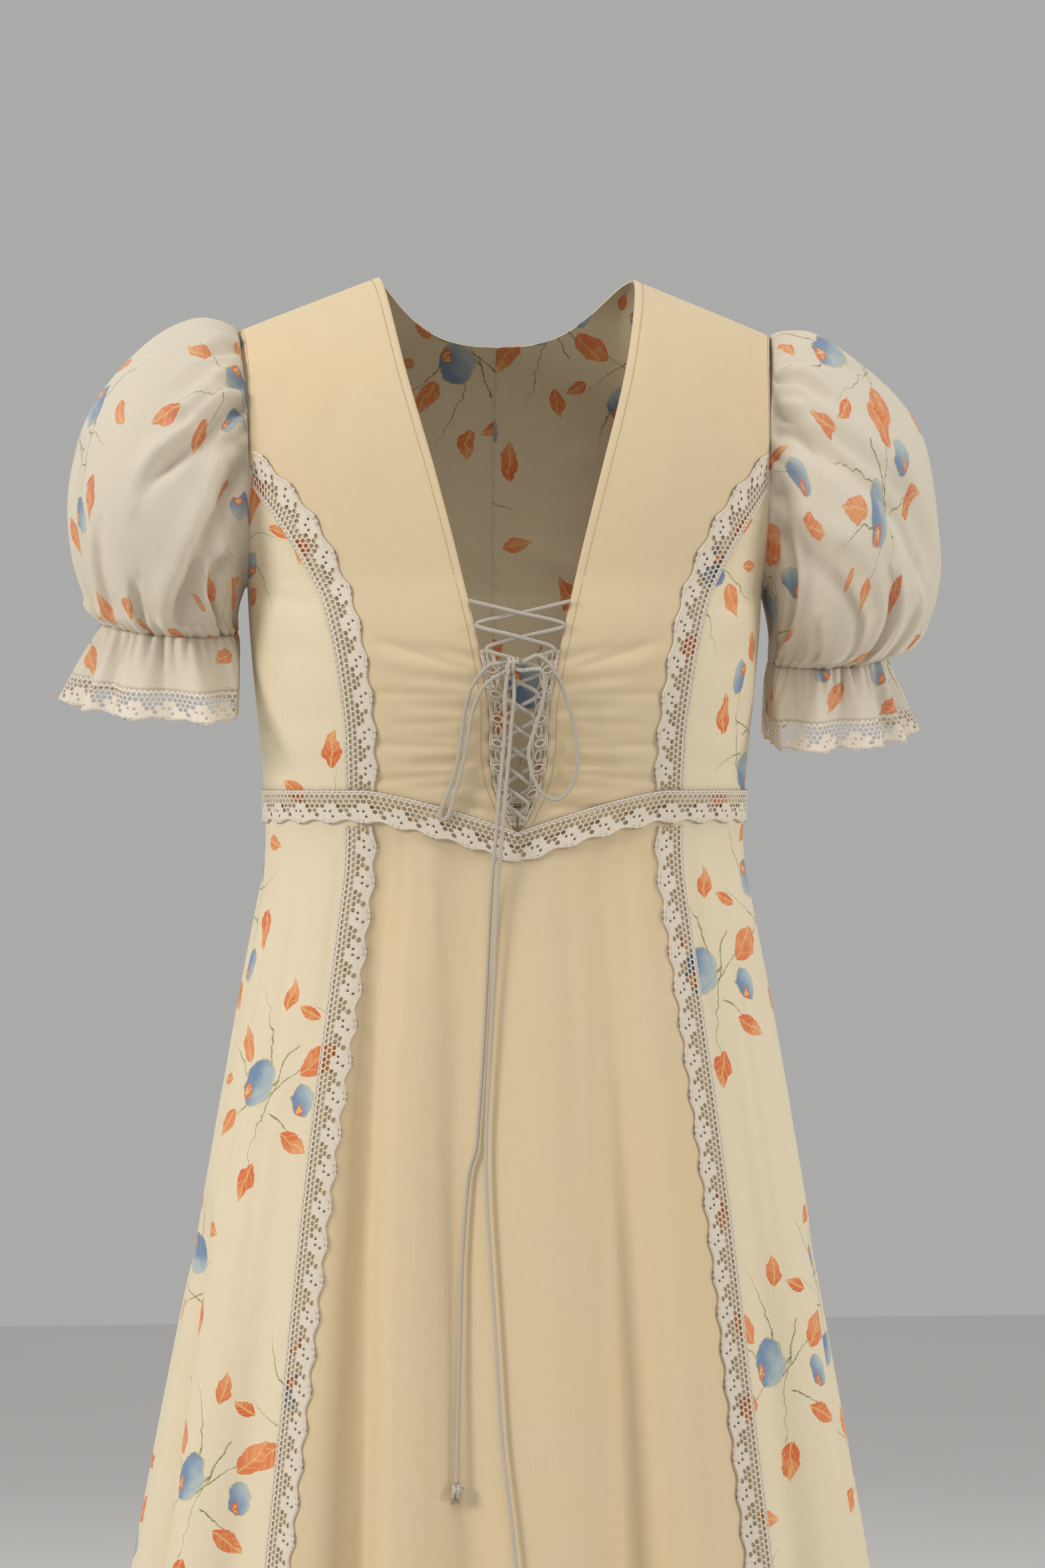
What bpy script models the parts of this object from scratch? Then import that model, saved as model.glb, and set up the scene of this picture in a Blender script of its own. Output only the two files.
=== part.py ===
"""Prairie dress: plain front yoke laced at the breast, printed side, back and skirt panels, puff
sleeves and lace trims. The front faces -Y, +X is to the right of the picture and +Z is up. The
origin is midway between the two neck-side shoulder points. Each surface is the cloth's outer face,
worked out in millimetres and thickened inwards."""

import math

import bmesh
import bpy
import numpy as np
from mathutils import Vector

MM = 0.001
SEAM = 0.2          # each piece stops this far short of a seam line
WAIST_GAP = 0.8     # under the band, where the seam line bends
SHOULDER_GAP = 0.1  # more of it at the shoulder seam
CLOTH = 1.5
SHEER = 1.2
LACE = 1.0
LACE_LIFT = 1.7     # outer face of a trim above the cloth under it
WAIST_LIFT = 2.2
SKIRT_LIFT = 2.4

# Body of the dress
NECK_HALF = 78.0        # shoulder seam starts here
TIP_HALF = 165.0        # and ends here, at the armhole
TIP_DROP = 34.0
ARMHOLE_DROP = 188.0    # bottom of the armhole
ARMHOLE_HALF = 158.0
ARMHOLE_FRONT = 47.0    # half depth of the armhole in front of the side line, and behind it
ARMHOLE_BACK = 52.0
WAIST_DROP = 323.0
WAIST_POINT = 25.0      # how far the band dips at the centre front
WAIST_POINT_HALF = 90.0
WAIST_SHARP = 1.3       # 1 is a straight V
HEM_DROP = 1400.0
BEHIND = 89.99          # directions past this one belong to the back
ROUND = 0.86            # power on sine and cosine: 1 is an ellipse, less is squarer
ARCH = 0.87             # the same for the arch over the shoulder
CORNER = 0.2556         # height between armhole bottom (0) and shoulder (1) of the princess corner
BACK_NECK = 0.42        # share of the arch that the back neckline drops at the centre
NECK_FROM = 0.5         # share of the way across the back where its neckline starts
NECK_CURVE = 2.4        # how round it is
BACK_WIDE = 112.0       # distance from the centre at which the back's columns divide, at the armhole
BACK_NARROWS = 0.7      # how soon it comes in to the neck
SHOULDER_LAST = 8       # the shoulder's extra gap comes on over the last stretch

# Horizontal sections: half width, depth in front and depth behind, at each drop below the shoulder
SECTIONS = np.array([
    # drop, half width, front, back
    (188, 158.0, 104, 97),
    (215, 156.5, 108, 94),
    (250, 153.5, 106, 90),
    (285, 150.0, 99, 87),
    (325, 147.0, 91, 85),
    (360, 147.5, 90, 86),
    (390, 153.0, 92, 90),
    (450, 164.5, 99, 102),
    (525, 178.5, 109, 120),
    (680, 203.0, 131, 146),
    (1000, 252.0, 178, 192),
    (1400, 315.0, 226, 238),
])
HALF, FRONT, BACK = 1, 2, 3     # its columns

# Front edge of the yoke, from the shoulder down the neckline and the laced opening
OPENING = np.array([
    # drop, distance from the centre
    (0, 78.0), (60, 66.5), (130, 48.0), (190, 33.0), (235, 23.5), (271, 17.8),
    (298, 17.2), (318, 13.5), (336, 4.0), (341, 0.3), (348, 0.3),
])

# Princess seam, between the plain yoke and the printed side front
PRINCESS = np.array([
    # drop down the neck side, distance from the centre
    (105, 158.0), (119.7, 148.3), (138, 136.5), (160.5, 124.0), (182, 114.0), (198, 107.8),
    (222, 102.3), (250, 97.8), (290, 93.8), (323, 92.0), (348, 92.0),
])

# Lace over the princess seam, from the waist to the armhole
BODICE_LACE = np.array([
    # share, scalloped edge x and drop, straight edge x and drop
    (0.00, 83.0, 336, 100.5, 336),
    (0.12, 84.5, 292, 102.0, 292),
    (0.24, 89.0, 250, 106.5, 250),
    (0.36, 93.5, 222, 111.0, 223),
    (0.47, 99.0, 197, 116.5, 200),
    (0.56, 105.5, 179.5, 123.0, 184),
    (0.68, 116.0, 155.4, 132.0, 165.5),
    (0.80, 130.0, 130.8, 142.0, 146.5),
    (0.91, 144.0, 110, 149.5, 133),
    (1.00, 155.0, 94, 155.0, 121.5),
])

# Soft gathers that the lacing pulls into the yoke on each side
RUCHES = (
    # drop at the lacing, drop at the far end, length, depth
    (236, 228, 40, 1.4),
    (251, 246, 46, 1.8),
    (266, 263, 50, 2.2),
    (281, 281, 52, 2.0),
    (296, 299, 58, 2.6),
    (311, 312, 52, 2.2),
    (327, 316, 40, 1.6),
)
RUCHE_HALF = 3.6

# Skirt panels' seams, as directions from the centre front at the waist and at the hem
SKIRT_SEAM = (36.0, 38.5)
SIDE_SEAM = (90.0, 92.0)
SWING = 1.6             # they and the folds have turned fully after 1 / SWING of the skirt
FOLD_GROWTH = 0.62      # how soon a fold deepens on its way down
PANEL_ROWS = 1.4        # over 1, the rows are closer at the waist
LACE_ROWS = 1.2
NARROW = 0.8            # shortest reach of a section, as a share of its half width
LACE_NARROW = 0.85

# Folds that hang in the skirt. A fold swings from its direction at the waist to that at the hem.
# Depth is how far it stands in at the hem (out where negative), and it starts at a drop.
SKIRT_FOLDS = (
    # waist direction, hem direction, half width, depth at the hem, starts at
    (-29.5, -21.5, 4.0, 34.0, 325.0),
    (-36.5, -31.0, 6.0, -10.0, 420.0),
    (-12.0, -4.0, 4.6, 20.0, 325.0),
    (-21.0, -13.0, 6.0, -12.0, 345.0),
    (1.0, 5.0, 5.5, -13.0, 345.0),
    (17.0, 14.5, 4.4, 26.0, 335.0),
    (27.0, 24.0, 6.5, -12.0, 360.0),
    (36.0, 33.5, 4.0, 12.0, 620.0),
    (-50.0, -47.0, 5.0, 12.0, 480.0),
    (-66.0, -60.0, 8.5, -20.0, 560.0),
    (-82.0, -77.0, 5.5, 44.0, 560.0),
    (-96.0, -94.0, 8.0, -22.0, 600.0),
    (49.0, 46.0, 5.0, 14.0, 460.0),
    (66.0, 60.0, 8.5, -20.0, 560.0),
    (82.0, 76.0, 5.5, 42.0, 580.0),
    (96.0, 93.0, 8.0, -20.0, 600.0),
    (112.0, 110.0, 5.5, 32.0, 330.0),
    (128.0, 127.0, 7.0, -16.0, 345.0),
    (143.0, 143.0, 5.0, 30.0, 330.0),
    (158.0, 158.0, 7.0, -16.0, 345.0),
    (171.0, 171.0, 4.6, 26.0, 330.0),
    (-112.0, -111.0, 5.5, 34.0, 330.0),
    (-127.0, -127.0, 7.0, -16.0, 345.0),
    (-142.0, -142.0, 5.0, 28.0, 330.0),
    (-157.0, -157.0, 7.0, -16.0, 345.0),
    (-172.0, -172.0, 4.6, 26.0, 330.0),
)

# Puff sleeves, ring by ring from the armhole to the gathered wrist of the puff, seen from the front
SLEEVES = {
    "left": np.array([
        # outer x, outer drop, inner x, inner drop, half depth, middle y
        (165, 34, 158, 188, 49, 2),
        (186, 26, 159.5, 191, 58, 1),
        (213, 36, 160.5, 194, 66, 0),
        (238, 60, 161.5, 197, 71, -1),
        (257, 90, 162.5, 200, 72, -2),
        (267, 130, 163.5, 204, 68, -2),
        (266, 166, 164.5, 208, 61, -2),
        (258, 193, 165.0, 212, 51, -1),
        (245, 212, 165.5, 217, 41, 0),
    ], float),
    "right": np.array([
        (165, 34, 158, 188, 49, 2),
        (186, 31, 159.5, 192, 58, 1),
        (214, 46, 160.5, 197, 66, 0),
        (243, 71, 161.5, 202, 71, -1),
        (260, 100, 162.5, 208, 72, -2),
        (268, 150, 163.5, 215, 69, -2),
        (269, 188, 164.0, 222, 61, -2),
        (257, 218, 164.5, 229, 50, -1),
        (235, 230, 165.0, 235, 38, 0),
    ], float),
}
SLEEVE_TILT = 7.0       # how much lower the wrist of the puff hangs in front than at its ends
# How far the ruffle and its lace flare and fall, at the gathers, the lace's seam and the edge
CUFF_OUT = {"left": (0.0, 14.0, 21.0), "right": (0.0, 10.0, 15.0)}
CUFF_DROP = (0.0, 30.0, 47.0)
RUFFLE_WAVES = 10
RUFFLE_WAVE = 6.0
WAVE_GROWTH = 0.7
RUFFLE_DEEPER = 0.1     # share by which its inner side stands out to the front and back
ARM_CLEAR = 160.0       # the ruffle keeps this far from the centre, beside the body
ARM_SLOPE = 0.25        # and further by this share of its flare
ARM_SOFT = 6.0
SLEEVE_GATHERS = 13
GATHER_DEPTH = 1.5
HEAD_GATHERS = 0.12     # share of the sleeve where those of its head are fullest, and their spread
WRIST_GATHERS = 0.25

# Trims
WAIST_LACE = 19.0
SKIRT_LACE = 19.0
PLACKET_LACE = 9.5
PLACKET_DROPS = (233.0, 336.0)
PLACKET_HOLES = 8
PLACKET_FREE = 1.2      # least distance of its free edge from the centre
BAND_CLEAR = 2.5        # the skirt lace starts this far under the waist lace
HOLE_SHARES = ((0, 0), (1 / 3, 0.24), (2 / 3, 0.76), (1, 1))    # the middle column is the widest

# Lacing: where the cord turns at each side of the opening
CORD = 2.4
LACING = (
    # drop, distance from the centre
    (202, 30.0), (216, 26.0), (230, 20.0), (243, 12.5), (257, 10.5), (271, 8.5),
    (285, 8.0), (298, 8.0), (311, 7.0), (322, 6.0), (332, 5.0),
)
CORD_OVER = 1.9         # cord's middle above the cloth, and above another cord that it crosses
CORD_CROSS = 5.0
KNOT = (-5.5, 240.0, 9.0)           # distance right of the centre, drop, height off the cloth
KNOT_HALF = (4.6, 4.0, 4.2)

# The bow and tails, chosen by hand: distance right of the centre, drop, height off the cloth
BOW_LEFT = (
    (-10.8, 239, 9), (-18, 240, 8), (-24, 246, 6.5), (-29, 254, 5), (-32.5, 268, 4), (-34.5, 285, 4),
    (-37, 300, 4), (-41, 314, 4), (-45.5, 325, 4), (-45.5, 330.5, 4), (-41.5, 329, 4),
    (-37.5, 316, 4), (-33.5, 300, 4), (-30.5, 284, 4), (-28, 268, 4.5), (-23, 255, 6), (-16.5, 248, 8),
    (-11.5, 245.5, 9.5),
)
BOW_RIGHT = (
    (-0.3, 239.5, 9), (5.5, 236, 9), (10, 234.5, 8.5), (16.5, 239, 7.5), (23.5, 250, 6), (29, 264, 5),
    (33, 277, 4), (35, 291, 4), (34.5, 303, 4), (30.5, 313, 4), (24, 319, 4), (16, 317, 4),
    (10.5, 310, 5), (7, 301, 6), (5.5, 290, 7), (8, 280, 7), (12, 266, 7), (14, 254, 8),
    (12.5, 244, 11), (7.5, 242.5, 12), (0.8, 243.5, 11.5),
)
TAIL_LEFT = (
    (-8.2, 245.6, 11), (-9.3, 258, 10), (-9, 272, 8), (-9.5, 290, 7), (-11, 310, 7),
    (-12.5, 330, 8), (-14, 348, 8), (-15.5, 366, 6), (-17, 392, 4), (-19, 430, 3.5), (-21.5, 472, 3.5),
    (-24.5, 510, 3.5), (-26, 525, 3.5), (-29.5, 537, 3.5), (-31.5, 552, 3.5), (-34.5, 590, 3.5),
    (-36, 630, 3.5), (-37.5, 671, 3.5), (-39, 718, 3.5),
)
TAIL_RIGHT = (
    (-4.8, 244.8, 9.2), (-4, 258, 9.5), (-5, 272, 8), (-6, 290, 7.5), (-7.5, 310, 7.5),
    (-9, 330, 8.5), (-10.3, 348, 8.5), (-11.8, 366, 6.5), (-13.2, 392, 5), (-15.2, 430, 4.5),
    (-17.8, 472, 4.5), (-20, 510, 4.5), (-20.5, 536, 4.5), (-19.5, 568, 4.5), (-16, 632, 4.5),
    (-13, 691, 4.5), (-9, 730, 4.5), (-4.5, 777, 4.5), (-2, 820, 4.5), (-1, 858, 4.5),
)
CORD_END = 8.0          # length of the knot on each tail's end, and half its width
CORD_END_HALF = 2.2
CORD_END_GAP = 0.5

# Colours, roughness
PLAIN = ("straw_cotton", (0.72, 0.57, 0.35, 1.0), 0.85)
PRINT = ("printed_cotton", (0.78, 0.67, 0.45, 1.0), 0.85)
VOILE = ("printed_voile", (0.66, 0.58, 0.46, 1.0), 0.8)
TRIM = ("ecru_lace", (0.80, 0.68, 0.56, 1.0), 0.9)
BRAID = ("braided_cord", (0.68, 0.60, 0.50, 1.0), 0.5)


def read_off(table, column, at):
    """The column's value on a smooth curve through the table's rows."""
    places, values = table[:, 0], table[:, column]
    slopes = np.gradient(values, places)
    at = min(max(at, places[0]), places[-1])
    i = min(max(int(np.searchsorted(places, at)) - 1, 0), len(places) - 2)
    step = places[i + 1] - places[i]
    t = (at - places[i]) / step
    return float(
        values[i] * (1 + 2 * t) * (1 - t) ** 2
        + values[i + 1] * t * t * (3 - 2 * t)
        + step * (slopes[i] * t * (1 - t) ** 2 - slopes[i + 1] * t * t * (1 - t))
    )


def bell(offset, half_width):
    return math.exp(-((offset / half_width) ** 2))


def power(value, exponent):
    return math.copysign(abs(value) ** exponent, value)


def ring_point(direction, half, front, back):
    """Point of a horizontal section, in the direction in degrees from the centre front."""
    turn = math.radians(direction)
    sine, cosine = power(math.sin(turn), ROUND), power(math.cos(turn), ROUND)
    return half * sine, -(front if cosine > 0 else back) * cosine


def direction_at(x, half):
    """Direction, in front, whose point of the section lies x from the centre."""
    return math.degrees(math.asin(min(1.0, power(x / half, 1 / ROUND))))


def opening_x(drop):
    """Distance of the yoke's front edge from the centre."""
    return max(SEAM, read_off(OPENING, 1, drop))


# ---- body above the waist. height runs from -1 at the waist, 0 at the armhole's bottom, to 1 at
# ---- the shoulder


def arch(height):
    """Share of the way up to the shoulder, and of the depth that is left, at a height."""
    turn = math.radians(90.0 * max(height, 0.0))
    return math.sin(turn) ** ARCH, max(math.cos(turn), 0.0) ** ARCH


def shoulder_drop(x):
    return TIP_DROP * max(0.0, abs(x) - NECK_HALF) / (TIP_HALF - NECK_HALF)


def waist_drop(x):
    return WAIST_DROP + WAIST_POINT * max(0.0, 1 - abs(x) / WAIST_POINT_HALF) ** WAIST_SHARP


def neck_side_drop(height):
    """Drop down the neck side and the centre front, by which the seams' tables are read."""
    if height <= 0:
        return ARMHOLE_DROP - height * (WAIST_DROP + WAIST_POINT - ARMHOLE_DROP)
    return ARMHOLE_DROP * (1 - arch(height)[0])


def armhole_x(height):
    return ARMHOLE_HALF + (TIP_HALF - ARMHOLE_HALF) * max(height, 0.0) ** 3


def body_half(height, behind):
    """Half width of the section that a height lies on, so that it passes through the armhole."""
    if height <= 0:
        drop = ARMHOLE_DROP - height * (WAIST_DROP - ARMHOLE_DROP)
        return read_off(SECTIONS, HALF, drop)
    risen, left = arch(height)
    column = BACK if behind else FRONT
    reach = ARMHOLE_BACK if behind else ARMHOLE_FRONT
    edge = reach * math.sqrt(max(0.0, 1 - (2 * risen - 1) ** 2))
    depth = read_off(SECTIONS, column, ARMHOLE_DROP) * max(left, 1e-6)
    share = min(edge / depth, 0.97) ** (2 / ROUND)
    return armhole_x(height) / (1 - share) ** (ROUND / 2)


def body_edge(height, behind):
    """Direction, from the nearer centre line, of the side seam or the armhole at a height."""
    if height <= 0:
        return 90.0
    return direction_at(armhole_x(height), body_half(height, behind))


def body(direction, height):
    """Point of the bodice's outer face, with the seams' gap left at the side and the shoulder."""
    behind = abs(direction) > 90
    half = body_half(height, behind)
    left = arch(height)[1] if height > 0 else 1.0
    x, _ = ring_point(direction, half, 1, 1)
    if height > 0:
        drop = ARMHOLE_DROP - (ARMHOLE_DROP - shoulder_drop(x)) * arch(height)[0]
        level = ARMHOLE_DROP
    else:
        bottom = WAIST_DROP if behind else waist_drop(x)
        drop = level = ARMHOLE_DROP - height * (bottom - ARMHOLE_DROP)
        half = read_off(SECTIONS, HALF, level)
    front, back = (read_off(SECTIONS, column, level) for column in (FRONT, BACK))
    x, y = ring_point(direction, half, front * left, back * left)
    gap = SEAM + SHOULDER_GAP * max(0.0, height) ** SHOULDER_LAST
    y += gap if behind else -gap
    return Vector((x, y, -drop))


def between(low, high, share):
    return low + (high - low) * share


def at_rows(share, knots):
    """Reads (share, value) pairs by straight lines, so that rows can be closer where it matters."""
    return float(np.interp(share, [k[0] for k in knots], [k[1] for k in knots]))


# Rows of the yoke: the ruched part takes most of them
YOKE_ROWS = 37
RUCHED = 25 / YOKE_ROWS
PLAIN_UP = 27 / YOKE_ROWS
CORNER_UP = 31 / YOKE_ROWS
LAST_ROW = 1 / YOKE_ROWS
NEAR_TOP = 0.975        # a narrow, flat last row keeps the two walls apart at the shoulder seam
YOKE_HEIGHTS = (
    (0, -1), (RUCHED, -0.25), (PLAIN_UP, 0), (CORNER_UP, CORNER), (CORNER_UP + LAST_ROW, CORNER + 0.02),
    (1 - LAST_ROW, NEAR_TOP), (1, 1),
)
CORNER_WIDTH = 1.2      # degrees that the side front keeps at its upper corner
SEAM_TURN = 0.17        # degrees that each piece stops short of the princess seam
SIDE_HEIGHTS = ((0, -1), (0.3, -0.25), (0.6, 0), (1, CORNER))
BACK_ROWS = 15
BACK_SHARES = ((0, 0), (6 / BACK_ROWS, 0.5), (1 - 1 / BACK_ROWS, (1 + NEAR_TOP) / 2), (1, 1))


def ruching(x, drop):
    """How far the gathers beside the lacing stand in."""
    edge = opening_x(drop)
    away = abs(x) - edge
    found = 0.0
    for start, end, length, depth in RUCHES:
        share = away / length
        if share < 1.2:
            middle = between(start, end, min(max(share, 0), 1))
            fade = 1 - bell(share - 1.2, 0.5)
            found += depth * fade * bell(drop - middle, RUCHE_HALF)
    return found


def princess(height, half):
    """Direction of the princess seam at a height, just short of the armhole at its upper end."""
    seam = direction_at(read_off(PRINCESS, 1, neck_side_drop(height)), half)
    return min(seam, body_edge(height, False) - CORNER_WIDTH)


def yoke(across, up):
    """Front yoke, right side: across runs from the opening to the princess seam and the armhole."""
    height = at_rows(up, YOKE_HEIGHTS)
    down = neck_side_drop(height)
    half = body_half(height, False)
    start = direction_at(opening_x(down), half)
    end = body_edge(height, False)
    if height < CORNER + 1e-6:
        end = princess(height, half) - SEAM_TURN
    point = body(between(start, end, across), height)
    point.y += ruching(point.x, -point.z)
    return point


def side_front(across, up):
    """Printed side front, right side: from the princess seam to the side seam and the armhole."""
    height = at_rows(up, SIDE_HEIGHTS)
    half = body_half(height, False)
    start = princess(height, half) + SEAM_TURN
    end = body_edge(height, False)
    return body(between(start, end, across), height)


def back(across, up):
    """Printed back, right side: from the side seam and the armhole to the centre back."""
    share = min(1.0, max(0.0, (across - NECK_FROM) / (1 - NECK_FROM)))
    top = 1 - BACK_NECK * (1 - (1 - share) ** NECK_CURVE)
    height = between(-1, top, at_rows(up, BACK_SHARES))
    outer = 180 - min(body_edge(height, True), BEHIND)
    half = body_half(height, True)
    neck_x = between(BACK_WIDE, NECK_HALF, max(0.0, height) ** BACK_NARROWS)
    middle = 180 - direction_at(neck_x, half)
    centre = 180 - direction_at(SEAM, half)
    if across < NECK_FROM:
        direction = between(outer, middle, across / NECK_FROM)
    else:
        direction = between(middle, centre, share)
    return body(direction, height)


def height_at(drop):
    """Height of a drop that is read down the neck side."""
    if drop >= ARMHOLE_DROP:
        return -(drop - ARMHOLE_DROP) / (WAIST_DROP + WAIST_POINT - ARMHOLE_DROP)
    return math.degrees(math.asin((1 - drop / ARMHOLE_DROP) ** (1 / ARCH))) / 90


def front_place(x, drop):
    """Point of the bodice's front at a distance from the centre and a neck-side drop."""
    height = height_at(drop)
    point = body(direction_at(abs(x), body_half(height, False)), height)
    point.x = math.copysign(point.x, x)
    return point


def bodice_lace(across, up):
    """Lace over the princess seam, right side, from the scalloped edge to the straight one."""
    edges = [read_off(BODICE_LACE, column, up) for column in range(1, 5)]
    return front_place(between(edges[0], edges[2], across), between(edges[1], edges[3], across))


def placket(across, up):
    """Crochet edge of the opening, right side, from its free edge to the yoke."""
    drop = between(PLACKET_DROPS[1], PLACKET_DROPS[0], up)
    edge = opening_x(drop) - 2 * SEAM
    wide = min(PLACKET_LACE, edge - PLACKET_FREE)
    x = edge - wide * (1 - at_rows(across, HOLE_SHARES))
    point = front_place(x, drop)
    point.y += ruching(edge, drop)
    return point


# ---- skirt. down runs from 0 at the waist seam to 1 at the hem


def skirt_folds(direction, drop):
    """How far the folds move the skirt in (positive) or out."""
    found = 0.0
    for at_waist, at_hem, half_width, depth, starts in SKIRT_FOLDS:
        if drop <= starts:
            continue
        middle = between(at_waist, at_hem, swing(drop))
        away = (direction - middle + 180) % 360 - 180
        grown = ((drop - starts) / (HEM_DROP - starts)) ** FOLD_GROWTH
        found += depth * grown * bell(away, half_width)
    return found


def swing(drop):
    """Share of the way that seams and folds have turned from their waist direction."""
    return min(1.0, SWING * (drop - WAIST_DROP) / (HEM_DROP - WAIST_DROP))


def waist_at(direction):
    """Drop of the waist seam in a direction."""
    if abs(direction) > 90:
        return WAIST_DROP
    return waist_drop(ring_point(direction, read_off(SECTIONS, HALF, WAIST_DROP), 1, 1)[0])


def skirt(direction, drop):
    """Point of the skirt's outer face."""
    half, front, behind = (read_off(SECTIONS, column, drop) for column in (HALF, FRONT, BACK))
    inward = skirt_folds(direction, drop)
    x, y = ring_point(direction, half, front, behind)
    flat = Vector((x / half**2, y / (front if y < 0 else behind) ** 2))
    flat.normalize()
    return Vector((x - inward * flat.x, y - inward * flat.y, -drop))


def skirt_panel(start, end):
    """Skirt surface between two seams, each a direction at the waist and at the hem."""

    def surface(across, down):
        fallen = max(down, 0.0) ** PANEL_ROWS
        level = between(WAIST_DROP, HEM_DROP, fallen)
        low, high = (between(seam[0], seam[1], swing(level)) for seam in (start, end))
        trim = math.degrees(SEAM / (NARROW * read_off(SECTIONS, HALF, level)))
        direction = between(low + trim, high - trim, across)
        return skirt(direction, between(waist_at(direction) + WAIST_GAP, HEM_DROP, fallen))

    return surface


def waist_lace(around, up):
    """Band round the waist seam, from centre back to centre back by the front."""
    direction = between(-180 + SEAM, 180 - SEAM, around)
    drop = waist_at(direction) + WAIST_LACE * (0.5 - up)
    half, front, behind = (read_off(SECTIONS, column, drop) for column in (HALF, FRONT, BACK))
    x, y = ring_point(direction, half, front, behind)
    return Vector((x, y, -drop))


def skirt_lace(side):
    """Lace down a skirt seam, from the scalloped edge to the straight one. side is +1 or -1."""

    def surface(across, down):
        top = WAIST_DROP + WAIST_LACE / 2 + BAND_CLEAR
        drop = between(top, HEM_DROP, max(down, 0.0) ** LACE_ROWS)
        half = math.degrees(SKIRT_LACE / 2 / (LACE_NARROW * read_off(SECTIONS, HALF, drop)))
        direction = between(*SKIRT_SEAM, swing(drop)) + half * (2 * across - 1)
        return skirt(side * direction, drop)

    return surface


# ---- sleeves


def sleeve_ring(side, along):
    """Outer point, inner point, half depth and middle y of a sleeve's ring, along from 0 to 1."""
    table = SLEEVES[side]
    steps = np.column_stack([np.linspace(0, 1, len(table)), table])
    return [read_off(steps, column, along) for column in range(1, 7)]


def sleeve_point(side, around, along, outward=0.0):
    """Point of the puff. around runs once round from the top over the front."""
    outer_x, outer_drop, inner_x, inner_drop, depth, middle = sleeve_ring(side, along)
    turn = 2 * math.pi * around
    up_share = (1 + math.cos(turn)) / 2
    x = between(inner_x, outer_x, up_share)
    drop = between(inner_drop, outer_drop, up_share) + SLEEVE_TILT * along**2 * math.sin(turn)
    y = middle * min(1, 4 * along) - depth * math.sin(turn)
    if along == 0:
        height = (ARMHOLE_DROP - drop) / (ARMHOLE_DROP - TIP_DROP)
        x = ARMHOLE_HALF + (TIP_HALF - ARMHOLE_HALF) * height**3 + 2 * SEAM
        y = -(ARMHOLE_FRONT if math.sin(turn) > 0 else ARMHOLE_BACK) * math.sin(turn)
    centre = Vector(((inner_x + outer_x) / 2, middle, -(inner_drop + outer_drop) / 2))
    point = Vector((x, y, -drop))
    return point + (point - centre).normalized() * outward


def puff(side):
    def surface(around, along):
        head = bell(along - HEAD_GATHERS, HEAD_GATHERS) if along > 0 else 0
        wrist = bell(along - 1, WRIST_GATHERS)
        upper = 0.5 + 0.5 * math.cos(2 * math.pi * around)
        wave = math.cos(2 * math.pi * SLEEVE_GATHERS * around)
        return sleeve_point(side, around, along, GATHER_DEPTH * wave * (wrist + head * upper))

    return surface


def cuff(side, start, end):
    """Ruffle or lace under the puff, between two of the flare's steps."""

    def surface(around, down):
        step = max(0.0, between(start, end, down))
        out = float(np.interp(step, (0, 1, 2), CUFF_OUT[side]))
        fall = float(np.interp(step, (0, 1, 2), CUFF_DROP)) + 4 * SEAM
        wave = RUFFLE_WAVE * (step / 2) ** WAVE_GROWTH * math.cos(2 * math.pi * RUFFLE_WAVES * around)
        gathers = GATHER_DEPTH * (1 - min(1, step)) * math.cos(2 * math.pi * SLEEVE_GATHERS * around)
        point = sleeve_point(side, around, 1.0, out + wave + gathers)
        inner = 0.5 - 0.5 * math.cos(2 * math.pi * around)
        point.z -= fall
        limit = ARM_CLEAR + ARM_SLOPE * (out + wave) + ARM_SOFT
        if point.x < limit:
            point.x = limit - ARM_SOFT + ARM_SOFT * math.exp((point.x - limit) / ARM_SOFT)
        point.y *= 1 + RUFFLE_DEEPER * inner * step
        return point

    return surface


# ---- making objects


def mirrored(surface):
    def other(across, up):
        point = surface(across, up)
        point.x = -point.x
        return point

    return other


def lifted(surface, lift, outward):
    """The surface moved out along its own normal. outward is +1 or -1."""
    tiny = 1e-3

    def moved(across, up):
        a = surface(across + tiny, up) - surface(across - tiny, up)
        b = surface(across, up + tiny) - surface(across, up - tiny)
        return surface(across, up) + a.cross(b).normalized() * lift * outward

    return moved


def finish_material(piece, look):
    name, colour, rough = look
    material = bpy.data.materials.new(f"{piece.name}_{name}")
    material.use_nodes = True
    shader = material.node_tree.nodes["Principled BSDF"]
    shader.inputs["Base Color"].default_value = colour
    shader.inputs["Roughness"].default_value = rough
    piece.data.materials.append(material)


def adopt(piece, name, look):
    piece.name = name
    for owner in list(piece.users_collection):
        owner.objects.unlink(piece)
    bpy.data.collections["prairie_dress"].objects.link(piece)
    finish_material(piece, look)
    return piece


def thicken(shell, outer, inner_place):
    """Closes a surface into a wall: a second skin at inner_place of each corner, and the rims."""
    copied = bmesh.ops.duplicate(shell, geom=shell.verts[:] + shell.edges[:] + shell.faces[:])
    inner = {corner: copied["vert_map"][corner] for corner in outer}
    skin = [part for part in copied["geom"] if isinstance(part, bmesh.types.BMFace)]
    bmesh.ops.reverse_faces(shell, faces=skin)
    rims = [edge for edge in shell.edges if edge.is_boundary and edge.verts[0] in inner]
    turns = [(edge.link_loops[0].vert, edge.link_loops[0].link_loop_next.vert) for edge in rims]
    for corner in outer:
        inner[corner].co = inner_place[corner]
    for first, second in turns:
        shell.faces.new((second, first, inner[first], inner[second]))


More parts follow.
